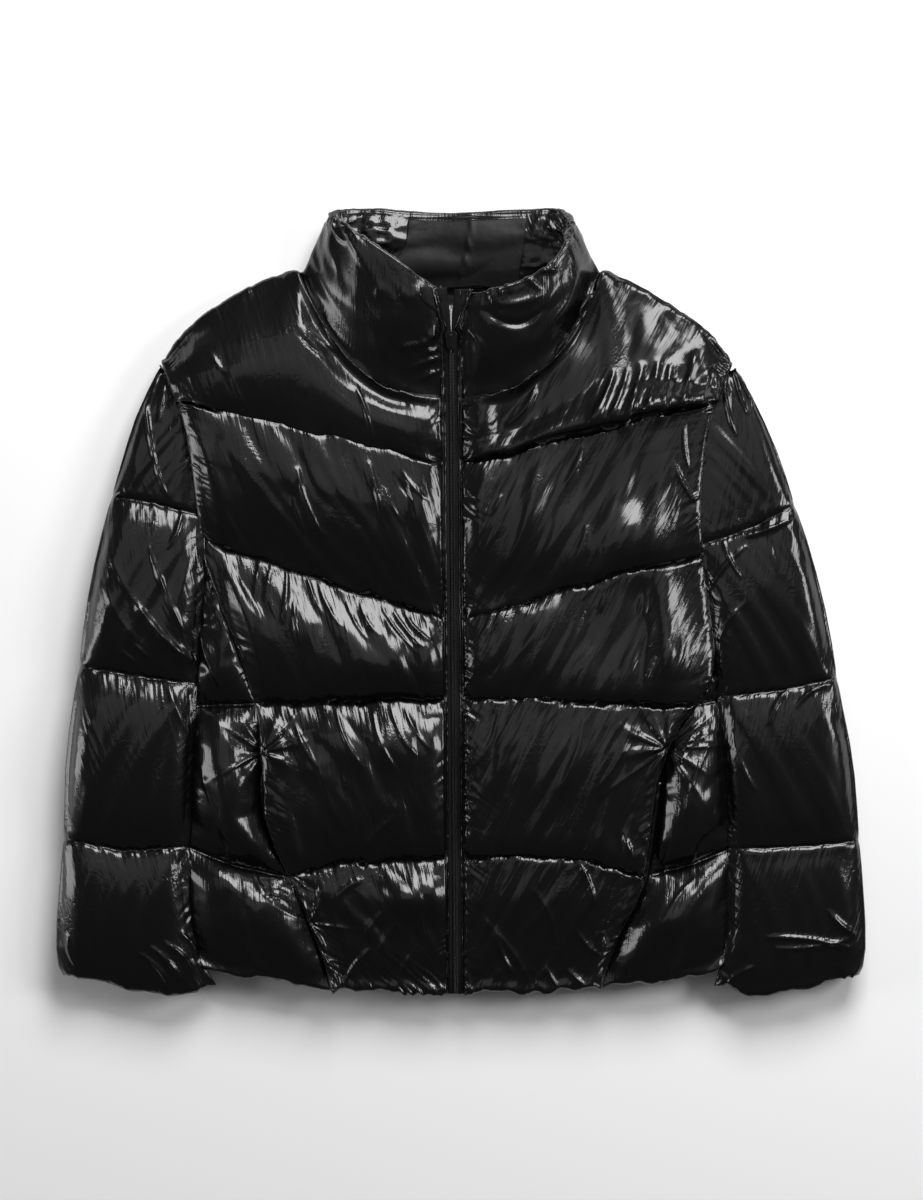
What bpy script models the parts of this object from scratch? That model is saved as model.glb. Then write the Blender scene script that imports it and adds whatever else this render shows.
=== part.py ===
"""A quilted puffer jacket, zipped up and laid flat: one closed solid for each piece that is cut and sewn.

The tables and sizes are in millimetres and the meshes in metres. X runs from the wearer's right to the left,
Y from the hem to the collar, and Z up from the surface that the jacket lies on. Left and right are the
wearer's. Each padded panel is a wall with a plain inside and a quilted, gathered outside.
"""

import math

import bmesh
import bpy
import numpy as np

MM = 0.001
SEAM_GAP = 0.3  # between two pieces that are sewn together
SIDES = ("right", "left")

# Heights above the surface that the jacket lies on.
BACK_TOP = 24.0  # the back's plain inside
FRONT_INSIDE = BACK_TOP + SEAM_GAP  # the fronts' plain inside, lying on it

# Padding: how thick a panel is at its stitched lines, along the neckline, at the jacket's outer edge, and at
# the least in a fold. Crowns are in BAND_CROWN.
SEAM_THICK = 8.5
NECK_THICK = 9.6
RIM_THICK = 2.0
LEAST_THICK = 1.6
EDGE_LIP = 4.0  # flat width beside the zip, under the binding
LIP_ABOVE_TAPE = 0.6

# The zip: half widths from its centre line, and thicknesses.
ZIP_TOP_Y, ZIP_TOP_X = 276.0, -9.9
ZIP_HEM_Y, ZIP_HEM_X = -354.0, -5.4
CHAIN_HALF, CHAIN_THICK, CHAIN_TOP_Y = 2.9, 2.2, 223.0
TAPE_THICK, TAPE_FROM, TAPE_EDGE = 1.2, 0.2, 7.6
PANEL_EDGE = 8.0
BINDING_FROM, BINDING_TO, BINDING_THICK = 7.2, 11.8, 1.2
SLIDER_LENGTH, SLIDER_HALF, SLIDER_THICK = 16.0, 5.6, 4.6

# The quilted fronts' grid.
COLUMNS = 33
NECK_COLUMN = 17  # the column that ends at the neck point
SIDE_COLUMNS = 9
BAND_STEPS = (0.0, 0.06, 0.18, 0.36, 0.55, 0.74, 0.9)

# Sleeves.
SLEEVE_MIDDLE = 24.0  # height of a sleeve's widest level
SLEEVE_GAP = 0.6  # between a sleeve and the body beside it
CORNER_GAP, CORNER_Y, CORNER_REACH = 1.5, -310.0, 16.0  # what the gap gains where the hem's corner rounds
SLIT_HALF = 1.5  # half the slit between a flat sleeve's two layers
SLIT_SHARE = 0.74  # of the sleeve's width
SLIT_TOP_Y = 30.0
TOP_STEPS, BOTTOM_STEPS = 20, 8


def table(columns, *rows):
    """The rows' numbers as one array for each named column."""
    return dict(zip(columns.split(), np.array(rows, float).T))


def smooth(at, xs, ys):
    """The smooth curve through the points (xs, ys), which never overshoots them, read at the places given."""
    order = np.argsort(xs)
    xs, ys = np.asarray(xs, float)[order], np.asarray(ys, float)[order]
    step = np.diff(xs)
    slope = np.diff(ys) / step
    tangent = np.concatenate([slope[:1], (slope[1:] + slope[:-1]) / 2, slope[-1:]])
    turns = slope[1:] * slope[:-1] <= 0
    tangent[1:-1][turns] = 0
    limit = 3 * np.minimum(np.abs(slope[1:]), np.abs(slope[:-1]))
    tangent[1:-1] = np.clip(tangent[1:-1], -limit, limit)
    at = np.clip(at, xs[0], xs[-1])
    i = np.clip(np.searchsorted(xs, at, side="right") - 1, 0, len(step) - 1)
    t = (at - xs[i]) / step[i]
    start, end = ys[i], ys[i + 1]
    lift = t * (1 - t) ** 2 * tangent[i] - t**2 * (1 - t) * tangent[i + 1]
    return start + (end - start) * t * t * (3 - 2 * t) + lift * step[i]


def pillow(t, fullness=0.55):
    """0 at both ends of 0..1 and 1 in the middle, steep at the ends as a stuffed channel is."""
    return (1 - np.clip(np.abs(2 * t - 1), 0, 1) ** 2) ** fullness


def rise(distance, width):
    """0 at an edge, rising steeply and then levelling to 1 at the width given."""
    return np.sqrt(1 - (1 - np.clip(distance / width, 0, 1)) ** 2)


# ---------------------------------------------------------------------------------------------------------
# The cut: outlines of the laid jacket, seen from above.

# The body's outer edge: down the armhole to y 34, then down the side to the hem's corner.
BODY_EDGE = table(
    "y right left",
    (211, -269, 242),
    (192, -261, 234),
    (162, -249, 221.5),
    (126, -242, 216),
    (90, -237.5, 213),
    (60, -234, 213.5),
    (34, -233, 216),
    (0, -236, 221.5),
    (-62, -239.5, 228.5),
    (-126, -243, 234.5),
    (-180, -245.5, 239.5),
    (-234, -247.5, 241),
    (-288, -245, 241),
    (-318, -239, 237.5),
    (-330, -232, 231),
)

# Where each front ends: at the armhole, then at the curved seam to its side panel. The left front reaches
# the side itself down to y -61.
FRONT_EDGE = table(
    "y right left",
    (211, -269, 242),
    (192, -261, 234),
    (162, -249, 221.5),
    (126, -242, 216),
    (90, -237.5, 213),
    (60, -234, 213.5),
    (34, -230, 216),
    (9, -221, 220),
    (-20, -210, 223.5),
    (-45, -200, 226),
    (-62, -194.5, 225),
    (-90, -186, 212),
    (-110, -182, 196),
    (-136, -180, 183),
    (-170, -179.5, 176),
    (-199, -177, 172),
    (-230, -164, 168),
    (-261, -149, 162),
    (-290, -136, 145),
    (-324, -123, 131),
    (-352, -115, 122),
)

# The upper edge of each front: the neckline from the zip to the neck point, then the shoulder.
NECKLINE = table(
    "right_x right_y left_x left_y",
    (-18, 180, 0, 180),
    (-47, 185.4, 29.7, 186),
    (-73.8, 193.5, 52, 193.5),
    (-91.8, 207, 74.7, 210.6),
    (-109.8, 225, 97, 234),
    (-127.8, 253.8, 113.4, 262.8),
    (-142, 282, 123, 283),
    (-147.6, 295, 127.8, 295),
)
SHOULDER = table(
    "right_x right_y left_x left_y",
    (-147.6, 295, 127.8, 295),
    (-158, 293.5, 135, 293),
    (-174, 288, 146, 288),
    (-190, 281, 160, 281),
    (-204, 273.6, 173, 273.6),
    (-236, 252, 205, 252),
    (-254, 234, 225, 234),
    (-269, 211, 242, 211),
)
BACK_NECKLINE = table(
    "x y",
    (-147.6, 295),
    (-122, 288),
    (-80, 282.5),
    (-10, 280),
    (60, 282.5),
    (103, 288),
    (127.8, 295),
)

# The hem's edge, with its gathered waves.
HEM = table(
    "x y",
    (-232, -330),
    (-219.6, -336),
    (-187, -340),
    (-166, -343.8),
    (-144, -347.4),
    (-116, -350.5),
    (-92, -349.6),
    (-68.4, -351.8),
    (-36, -353.3),
    (-6.3, -354.6),
    (28.8, -352.2),
    (55, -353.2),
    (82.8, -352),
    (104.4, -348.4),
    (126, -346.5),
    (142, -344),
    (158.4, -344.9),
    (180, -345.2),
    (201.6, -340),
    (223, -334.6),
    (231, -330),
)

# Stitched quilt lines: Y where each meets the zip, at quarters of the front's width, at the seam to the side
# panel, and halfway across and at the outer edge of the side panel.
QUILT = {
    "right": table(
        "zip quarter half three_quarters seam side_half side_edge",
        (-232, -234, -236, -239, -249, -238, -221),
        (-89, -90, -91.5, -93, -93, -94, -95),
        (-16, -1, 16, 34, 54, 0, 0),
        (122, 136, 149.5, 164, 178, 0, 0),
    ),
    "left": table(
        "zip quarter half three_quarters seam side_half side_edge",
        (-232, -231, -232, -237, -247, -237, -223),
        (-89, -89.5, -91, -95, -94, -92, -90),
        (-16, -2, 13, 27, 40, 0, 0),
        (122, 135, 150, 164, 177, 0, 0),
    ),
}
BAND_CROWN = (23.0, 29.0, 28.0, 29.0, 28.0)  # thickness of the padding in each band, from the hem up

# The step in each side's third band where its side panel starts, under the arm.
SIDE_PANEL_TOP = {"right": (2, 0.9), "left": (2, 0.18)}

# The pocket's slit, in the seam between front and side panel.
POCKET = table(
    "y right left",
    (-128, 0.3, 0.3),
    (-137, 0.4, 0.4),
    (-152, 4.5, 5.0),
    (-172, 6.5, 7.0),
    (-196, 4.6, 7.0),
    (-225, 2.6, 6.4),
    (-250, 2.2, 5.2),
    (-272, 0.5, 2.4),
    (-288, 0.3, 0.4),
    (-300, 0.3, 0.3),
)
# The dark strip in the slit: how far it lies under the panels' edges, how far its middle stands up, and the
# narrowest slit that it fills.
WELT_BELOW, WELT_RIDGE, WELT_LEAST_GAP = 3.2, 0.8, 2.0

# Height of the zip tape's upper face.
ZIP_HEIGHT = table(
    "y z",
    (-356, 27.8),
    (-346, 29.4),
    (-320, 31.4),
    (-232, 31.2),
    (-160, 32.2),
    (-89, 31.4),
    (-50, 32.2),
    (-16, 31.4),
    (50, 32.4),
    (122, 31.6),
    (160, 32.6),
    (185, 35.2),
    (205, 40.0),
    (232, 49.0),
    (256, 57.0),
    (278, 62.0),
)


HEM_LEVEL, CORNER_LEVEL = -350.0, -329.6  # of the hem at the zip, and of the hem's corners


def edge_x(side, y, outline):
    return smooth(y, outline["y"], outline[side])


def centre_x(y):
    """The zip's centre line, which leans a little."""
    share = (np.asarray(y, float) - ZIP_HEM_Y) / (ZIP_TOP_Y - ZIP_HEM_Y)
    return ZIP_HEM_X + (ZIP_TOP_X - ZIP_HEM_X) * share


def zip_z(y):
    return smooth(y, ZIP_HEIGHT["y"], ZIP_HEIGHT["z"])


def neck_y(side, x):
    return smooth(x, NECKLINE[side + "_x"], NECKLINE[side + "_y"])


def shoulder_y(side, x):
    return smooth(x, SHOULDER[side + "_x"], SHOULDER[side + "_y"])


def hem_y(x):
    return smooth(x, HEM["x"], HEM["y"])


def back_neck_y(x):
    return smooth(x, BACK_NECKLINE["x"], BACK_NECKLINE["y"])


def sign(side):
    return -1.0 if side == "right" else 1.0


# ---------------------------------------------------------------------------------------------------------
# Folds: what the cloth does between its stitched lines.

# The gathers that stand on each side of a quilt line: how many over a front's width, how deep beside the
# line, how far they reach into the band as a share of it, and how far they lean towards the zip.
FRONT_WIDTH = 200.0
GATHERS = table(
    "count depth reach lean phase",
    (9, 1.6, 0.30, 6, 0.3),
    (10, 2.0, 0.30, 4, 1.9),
    (10, 2.4, 0.34, -9, 0.9),
    (9, 2.0, 0.30, -12, 2.6),
    (8, 1.6, 0.24, -8, 4.1),
)

# The longest creases, from one end to the other: positive depths are ridges and negative ones troughs.
CREASES = {
    "right": table(
        "x0 y0 x1 y1 depth width",
        (-186, 6, -170, -62, 3.2, 6),
        (-170, -2, -168, -50, 2.6, 5),
        (-158, -4, -150, -70, -2.4, 6),
        (-139, -4, -132, -46, 2.8, 6),
        (-120, -16, -112, -70, -2.4, 6),
        (-103, -20, -96, -60, 2.4, 6),
        (-64, -24, -48, -52, 2.4, 6),
        (-104, 152, -92, 104, 2.6, 6),
        (-126, 118, -112, 62, 2.8, 6),
        (-84, 196, -66, 158, 2.6, 6),
        (-150, 250, -112, 208, -2.4, 7),
        (-112, -100, -84, -150, 2.8, 7),
        (-70, -98, -50, -150, 2.4, 6),
        (-150, -112, -176, -140, 2.4, 6),
        (-150, -150, -128, -196, -2.4, 7),
        (-112, -262, -76, -316, 2.6, 7),
        (-60, -244, -84, -312, -2.2, 7),
    ),
    "left": table(
        "x0 y0 x1 y1 depth width",
        (214, 150, 196, 92, 3.0, 6),
        (196, 128, 176, 70, -2.4, 7),
        (160, 190, 176, 158, 2.8, 6),
        (138, 182, 150, 152, 2.6, 6),
        (112, 172, 122, 150, 2.4, 6),
        (66, 216, 92, 176, -2.4, 7),
        (74, 128, 60, 78, 2.4, 6),
        (40, 176, 62, 208, 2.6, 6),
        (208, -2, 194, -80, 3.2, 8),
        (176, 16, 168, -36, -2.2, 7),
        (92, 8, 84, -28, 2.4, 6),
        (24, 2, 42, -34, 2.2, 6),
        (150, -104, 128, -128, 2.2, 6),
        (150, -176, 134, -206, 2.4, 6),
        (60, -240, 40, -312, 2.2, 7),
        (108, -246, 124, -302, -2.2, 7),
    ),
}

# Where the cloth is drawn together to a point: at the ends of each pocket and under each arm.
PUCKERS = {
    "right": table(
        "x y rays depth reach",
        (-180, -136, 7, 2.4, 24),
        (-136, -290, 7, 2.2, 26),
        (-226, 20, 6, 2.0, 20),
    ),
    "left": table(
        "x y rays depth reach",
        (183, -134, 8, 2.8, 24),
        (147, -284, 6, 2.2, 26),
        (208, 44, 5, 1.8, 20),
    ),
}


# How the gathers' spacing drifts along a line, which keeps them uneven: two waves added to the place.
DRIFT = table("size rate", (0.022, 9.0), (0.014, 23.0))


def gather_wave(along, row, lean):
    """Uneven ridges and troughs along a quilt line, for a place given as a share of its length."""
    count, phase = GATHERS["count"][row], GATHERS["phase"][row]
    drift = sum(size * np.sin(rate * along + phase) for size, rate in zip(*DRIFT.values()))
    return np.sin(2 * math.pi * count * (along + lean + drift) + phase)


def gathers(along, band, t):
    """How far the gathers beside the quilt lines below and above a band lift the cloth."""
    lift = np.zeros_like(along)
    for row, from_line in ((band, t), (band + 1, 1 - t)):
        if row == 0 or row > len(GATHERS["count"]):
            continue
        row -= 1
        reach = GATHERS["reach"][row]
        fade = (from_line / reach) * np.exp(1 - from_line / reach)
        lean = GATHERS["lean"][row] * from_line / FRONT_WIDTH
        lift = lift + GATHERS["depth"][row] * fade * gather_wave(along, row, lean)
    return lift


def creases(rows, x, y):
    lift = np.zeros_like(x)
    for x0, y0, x1, y1, depth, width in zip(*rows.values()):
        length = math.hypot(x1 - x0, y1 - y0)
        along = ((x - x0) * (x1 - x0) + (y - y0) * (y1 - y0)) / length**2
        nearest = np.clip(along, 0, 1)
        away = np.hypot(x - x0 - nearest * (x1 - x0), y - y0 - nearest * (y1 - y0))
        taper = 0.35 + 0.65 * np.sin(math.pi * nearest)
        lift = lift + depth * taper * np.exp(-((away / width) ** 2))
    return lift


PUCKER_PULL, PUCKER_MIDDLE = 0.9, 9.0  # how deep the point sinks for each mm of fold, and where rays start


def puckers(rows, x, y):
    """Rays of small folds round a point that is pulled down."""
    lift = np.zeros_like(x)
    for px, py, rays, depth, reach in zip(*rows.values()):
        away = np.hypot(x - px, y - py)
        turn = np.arctan2(y - py, x - px)
        near = np.exp(-((away / reach) ** 2))
        rays_here = np.sin(rays * turn + px) * np.clip(away / PUCKER_MIDDLE, 0, 1)
        lift = lift + depth * near * (rays_here - PUCKER_PULL)
    return lift


# ---------------------------------------------------------------------------------------------------------
# Meshes and materials.


def material(name, srgb, roughness, metallic=0.0):
    """A Principled material of one plain colour."""
    linear = [((c + 0.055) / 1.055) ** 2.4 if c > 0.04045 else c / 12.92 for c in srgb]
    made = bpy.data.materials.new(name)
    made.use_nodes = True
    shader = made.node_tree.nodes["Principled BSDF"]
    shader.inputs["Base Color"].default_value = (*linear, 1)
    shader.inputs["Roughness"].default_value = roughness
    shader.inputs["Metallic"].default_value = metallic
    return made


def piece(name, points, faces, finish):
    """One object from points in millimetres and faces that all turn one way; closed and facing out."""
    body = bmesh.new()
    corners = [body.verts.new(np.asarray(point, float) * MM) for point in points]
    for face in faces:
        body.faces.new([corners[i] for i in face])
    bmesh.ops.remove_doubles(body, verts=body.verts, dist=1e-7)
    bmesh.ops.triangulate(body, faces=body.faces)
    bmesh.ops.recalc_face_normals(body, faces=body.faces)
    if body.calc_volume(signed=True) < 0:
        bmesh.ops.reverse_faces(body, faces=body.faces)
    mesh = bpy.data.meshes.new(name)
    body.to_mesh(mesh)
    body.free()
    mesh.shade_smooth()
    mesh.set_sharp_from_angle(angle=math.radians(50))
    mesh.materials.append(finish)
    made = bpy.data.objects.new(name, mesh)
    bpy.context.scene.collection.objects.link(made)
    return made


def wall(name, top, base, finish):
    """A padded wall from a grid of outer points, straight sides, and one flat face at the height base."""
    rows, columns = top.shape[:2]
    grid = np.arange(rows * columns).reshape(rows, columns)
    faces = [
        (grid[i, j], grid[i, j + 1], grid[i + 1, j + 1], grid[i + 1, j])
        for i in range(rows - 1)
        for j in range(columns - 1)
    ]
    rim = [*grid[0, :-1], *grid[:-1, -1], *grid[-1, :0:-1], *grid[:0:-1, 0]]
    points = [*top.reshape(-1, 3)]
    below = [len(points) + i for i in range(len(rim))]
    points += [(points[i][0], points[i][1], base) for i in rim]
    for i, corner in enumerate(rim):
        after = (i + 1) % len(rim)
        faces.append((corner, below[i], below[after], rim[after]))
    faces.append(below[::-1])
    return piece(name, points, faces, finish)


def tube(name, rings, finish, closed_at=("start", "end")):
    """Rings of equal counts skinned in order; each end in closed_at is filled with one face."""
    count = len(rings[0])
    points = [point for ring in rings for point in ring]
    faces = []
    for i in range(len(rings) - 1):
        for j in range(count):
            k = (j + 1) % count
            faces.append((i * count + j, i * count + k, (i + 1) * count + k, (i + 1) * count + j))
    if "start" in closed_at:
        faces.append(tuple(range(count))[::-1])
    if "end" in closed_at:
        faces.append(tuple(range(len(points) - count, len(points))))
    return piece(name, points, faces, finish)


# ---------------------------------------------------------------------------------------------------------
# Fronts and side panels.


def row_places():
    """Every row of the fronts' grid from the hem up, as (band, share of the band)."""
    places = [(band, t) for band in range(5) for t in BAND_STEPS]
    return [*places, (4, 1.0)]


def column_share(neck_share, upward):
    """Each column's share of the front's width; in the top band a column runs up to the neck point."""
    even = np.arange(COLUMNS + 1) / COLUMNS
    warped = np.interp(even, [0, even[1], even[NECK_COLUMN], 1], [0, even[1], neck_share, 1])
    return even + (warped - even) * upward


def quilt_y(side, line, share):
    """Y of a quilt line at a share of the front's width."""
    rows = QUILT[side]
    names = ("zip", "quarter", "half", "three_quarters", "seam")
    return smooth(share, (0, 0.25, 0.5, 0.75, 1), [rows[name][line] for name in names])


def across(side, y, share):
    """X at a share of the front's width, with the flat lip beside the zip as the first column."""
    start = centre_x(y) + sign(side) * PANEL_EDGE
    end = edge_x(side, y, FRONT_EDGE) - sign(side) * pocket_gap(side, y) / 2
    lip = start + sign(side) * EDGE_LIP
    first = 1 / COLUMNS
    x = lip + (end - lip) * (share - first) / (1 - first)
    return np.where(share == 0, start, x)


def pocket_gap(side, y):
    return smooth(y, POCKET["y"], POCKET[side])


def neck_share(side):
    """The neck point's share of the front's width, as across() reads it."""
    neck_x, neck_y_value = NECKLINE[side + "_x"][-1], NECKLINE[side + "_y"][-1]
    lip = across(side, neck_y_value, np.array(1 / COLUMNS))
    end = across(side, neck_y_value, np.array(1.0))
    return 1 / COLUMNS + (1 - 1 / COLUMNS) * (neck_x - lip) / (end - lip)


def front_plan(side, band, t):
    """X and Y of one row of a front's grid."""
    share = column_share(neck_share(side), t if band == 4 else 0.0)
    if band == 0:
        low = hem_y(across(side, np.full_like(share, HEM_LEVEL), share))
    else:
        low = quilt_y(side, band - 1, share)
    if band == 4:
        beyond = np.arange(COLUMNS + 1) > NECK_COLUMN
        high = np.full_like(share, SHOULDER["right_y"][-1])
        for _ in range(4):  # its X depends on the Y that is sought
            high_x = across(side, high, column_share(neck_share(side), 1.0))
            high = np.where(beyond, shoulder_y(side, high_x), neck_y(side, high_x))
    else:
        high = quilt_y(side, band, share)
    y = low + (high - low) * t
    return share, across(side, y, share), y


# Thickness along each front's outer edge: a rim at the shoulder's tip and where it is the jacket's own side,
# and a seam's thickness where it is sewn to the sleeve or the side panel.
EDGE_THICK = {
    "right": table(
        "y thick",
        (211, RIM_THICK),
        (196, SEAM_THICK),
        (-360, SEAM_THICK),
    ),
    "left": table(
        "y thick",
        (211, RIM_THICK),
        (196, SEAM_THICK),
        (45, SEAM_THICK),
        (25, RIM_THICK),
        (-50, RIM_THICK),
        (-72, SEAM_THICK),
        (-360, SEAM_THICK),
    ),
}

# Widths over which a front's padding rises from its zip edge and its outer edge, and over which its stitched
# lines fall from the height of those edges.
ZIP_RISE, EDGE_RISE = 34.0, 30.0
ZIP_FALL, EDGE_FALL = 14.0, 12.0


def front_thickness(side, band, t, share, x, y):
    zip_edge = zip_z(y) + LIP_ABOVE_TAPE - FRONT_INSIDE
    outer = smooth(y, EDGE_THICK[side]["y"], EDGE_THICK[side]["thick"])
    low = np.full_like(x, SEAM_THICK if band else RIM_THICK)
    high = np.full_like(x, SEAM_THICK)
    if band == 4:
        on_shoulder = np.clip((np.arange(COLUMNS + 1) - NECK_COLUMN) / 2.0, 0, 1)
        high = NECK_THICK + (RIM_THICK - NECK_THICK) * on_shoulder
    line = low + (high - low) * t
    from_zip = np.abs(x - centre_x(y)) - PANEL_EDGE - EDGE_LIP
    from_edge = np.abs(edge_x(side, y, FRONT_EDGE) - x)
    swell = rise(from_zip, ZIP_RISE) * rise(from_edge, EDGE_RISE)
    near_zip = np.exp(-((np.clip(from_zip, 0, None) / ZIP_FALL) ** 2))
    near_edge = np.exp(-((from_edge / EDGE_FALL) ** 2))
    seam = line + (zip_edge - line) * near_zip
    seam = seam + (outer - seam) * near_edge
    puff = (BAND_CROWN[band] - SEAM_THICK) * pillow(np.full_like(x, t)) * swell
    folds = gathers(share, band, t) + creases(CREASES[side], x, y) + puckers(PUCKERS[side], x, y)
    return np.maximum(seam + puff + folds * swell, LEAST_THICK)


def front(side, finish):
    rows = []
    for band, t in row_places():
        share, x, y = front_plan(side, band, t)
        thick = front_thickness(side, band, t, share, x, y)
        rows.append(np.stack([x, y, FRONT_INSIDE + thick], axis=1))
    return wall(f"front_{side}", np.array(rows), FRONT_INSIDE, finish)


def side_plan(side, band, t):
    """X and Y of one row of a side panel's grid, from the curved seam to the side."""
    share = np.arange(SIDE_COLUMNS + 1) / SIDE_COLUMNS
    front_y = front_plan(side, band, t)[2][-1]
    rows = QUILT[side]

    def line(index):
        names = ("seam", "side_half", "side_edge")
        return smooth(share, (0, 0.5, 1), [rows[name][index] for name in names])

    if band == 0:
        start = edge_x(side, HEM_LEVEL, FRONT_EDGE)
        end = edge_x(side, CORNER_LEVEL, BODY_EDGE)
        y = hem_y(start + (end - start) * share) * (1 - t) + line(0) * t
    elif band == 1:
        y = line(0) * (1 - t) + line(1) * t
    else:
        top_y = front_plan(side, *SIDE_PANEL_TOP[side])[2][-1]
        base_y = quilt_y(side, 1, 1.0)
        y = line(1) + (top_y - line(1)) * (front_y - base_y) / (top_y - base_y)
    y[0] = front_y
    start = edge_x(side, front_y, FRONT_EDGE) + sign(side) * (pocket_gap(side, front_y) / 2)
    end = edge_x(side, y, BODY_EDGE)
    return share, start + (end - start) * share, y


# A side panel's crown, its most and as a share of its width; the shares of the width over which it rises from
# the seam and from the side; and the slack waves down its length.
SIDE_CROWN, SIDE_CROWN_SHARE = 22.0, 0.34
SIDE_RISE_SEAM, SIDE_RISE_EDGE = 0.45, 0.6
SIDE_WAVE, SIDE_WAVE_LENGTH, SIDE_WAVE_LEAN = 1.2, 9.0, 3.0
SIDE_FOLDS_WIDTH = 60.0  # folds are shallower where the panel is narrower than this


def side_panel(side, finish):
    rows = []
    last = row_places().index(SIDE_PANEL_TOP[side])
    for band, t in row_places()[: last + 1]:
        share, x, y = side_plan(side, band, t)
        base_y = quilt_y(side, 1, 1.0)
        top_y = front_plan(side, *SIDE_PANEL_TOP[side])[2][-1]
        upward = (y[0] - base_y) / (top_y - base_y) if band == 2 else t
        low = SEAM_THICK if band else RIM_THICK
        line = low + (SEAM_THICK - low) * t
        seam = line + (RIM_THICK - line) * share**3
        width = abs(x[-1] - x[0])
        swell = rise(share, SIDE_RISE_SEAM) * rise(1 - share, SIDE_RISE_EDGE)
        crown = min(SIDE_CROWN, SIDE_CROWN_SHARE * width)
        top_band = (1 - upward**2) ** 0.5 if band == 2 else 1.0
        puff = crown * (pillow(t) if band < 2 else pillow(0.5 * upward) * top_band) * swell
        slack = SIDE_WAVE * np.sin(y / SIDE_WAVE_LENGTH + SIDE_WAVE_LEAN * share)
        folds = creases(CREASES[side], x, y) + puckers(PUCKERS[side], x, y) + slack
        thick = np.maximum(seam + puff + folds * swell * min(1.0, width / SIDE_FOLDS_WIDTH), LEAST_THICK)
        rows.append(np.stack([x, y, FRONT_INSIDE + thick], axis=1))
    return wall(f"side_panel_{side}", np.array(rows), FRONT_INSIDE, finish)


def pocket_welt(side, finish):
    """The strip that fills the pocket's slit below its edges."""
    outer, inner = [], []
    for band, t in row_places():
        y = front_plan(side, band, t)[2][-1]
        gap = pocket_gap(side, y)
        if gap < WELT_LEAST_GAP:
            continue
        middle = edge_x(side, y, FRONT_EDGE)
        half = gap / 2 - SEAM_GAP
        top = FRONT_INSIDE + SEAM_THICK - WELT_BELOW
        outer.append([(middle - half, y, top), (middle, y, top + WELT_RIDGE), (middle + half, y, top)])
        inner.append([(middle + half, y, FRONT_INSIDE), (middle - half, y, FRONT_INSIDE)])
    rings = [above + below for above, below in zip(outer, inner)]
    return tube(f"pocket_welt_{side}", rings, finish)


# ---------------------------------------------------------------------------------------------------------
# Back.

BACK_RIM = table(
    "height inset neck_height neck_inset",
    (0, 13, 0, 3.0),
    (2.5, 8, 1.5, 1.0),
    (9, 3, 4, 0.2),
    (17, 0.6, 8, 0.0),
    (24, 0, 11, 0.0),
    (24, 6, 24, 20.0),
)
OUTLINE_STEP = 14.0


def evenly(start, end):
    return np.linspace(start, end, max(2, round(abs(end - start) / OUTLINE_STEP)))


def back_outline():
    """The back's outline, turning left round it, and which of its points lie on the neckline."""
    points, on_neck = [], []

    def add(xs, ys, neck=False):
        for x, y in zip(xs, ys):
            points.append((x, y))
            on_neck.append(neck)

    xs = evenly(HEM["x"][0], HEM["x"][-1])
    add(xs, hem_y(xs))
    ys = evenly(-330, 211)[1:]
    add(edge_x("left", ys, BODY_EDGE), ys)
    xs = evenly(242, 127.8)[1:]
    add(xs, shoulder_y("left", xs))
    xs = evenly(127.8, -147.6)[1:-1]
    add(xs, back_neck_y(xs), neck=True)
    xs = evenly(-147.6, -269)
    add(xs, shoulder_y("right", xs))
    ys = evenly(211, -330)[1:-1]
    add(edge_x("right", ys, BODY_EDGE), ys)
    return np.array(points), np.array(on_neck)


def back(finish):
    points, on_neck = back_outline()
    ahead = np.roll(points, -1, axis=0) - np.roll(points, 1, axis=0)
    inward = np.stack([-ahead[:, 1], ahead[:, 0]], axis=1)
    inward /= np.linalg.norm(inward, axis=1)[:, None]
    neck = on_neck.astype(float)
    neck = np.maximum(neck, 0.5 * np.maximum(np.roll(neck, 1), np.roll(neck, -1)))
    rings = []
    for height, inset, neck_height, neck_inset in zip(*BACK_RIM.values()):
        z = height + (neck_height - height) * neck
        move = inset + (neck_inset - inset) * neck
        rings.append(np.column_stack([points + inward * move[:, None], z]))
    return tube("back", rings, finish)


# ---------------------------------------------------------------------------------------------------------
# Sleeves.

SLEEVE_OUTER = table(
    "y right left",
    (214, -270, 243),
    (198, -278, 253),
    (162, -294, 271),
    (126, -305, 286),
    (90, -316, 298),
    (54, -325, 310),
    (18, -333, 320),
    (-18, -339, 328.5),
    (-54, -343.5, 335),
    (-90, -349, 341),
    (-144, -355.5, 351),
    (-198, -357.5, 356),
    (-252, -361, 360),
    (-306, -364.5, 362.7),
    (-326, -363.5, 361.5),
    (-340, -359, 357.5),
)
SLEEVE_INNER_BELOW_HEM = table(
    "y right left",
    (-330, -233.6, 232.6),
    (-336, -230, 232.6),
    (-341, -228.8, 233.4),
    (-352, -230.5, 237),
)
CUFF = {
    "right": table(
        "share y",
        (0, -337),
        (0.1, -342),
        (0.26, -346.8),
        (0.34, -351),
        (0.5, -352.2),
        (0.7, -354.6),
        (0.92, -353.4),
        (1, -346),
    ),
    "left": table(
        "share y",
        (0, -337),
        (0.06, -340),
        (0.22, -346.3),
        (0.4, -349),
        (0.58, -352.6),
        (0.74, -355.4),
        (0.93, -354.6),
        (1, -345),
    ),
}

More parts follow.
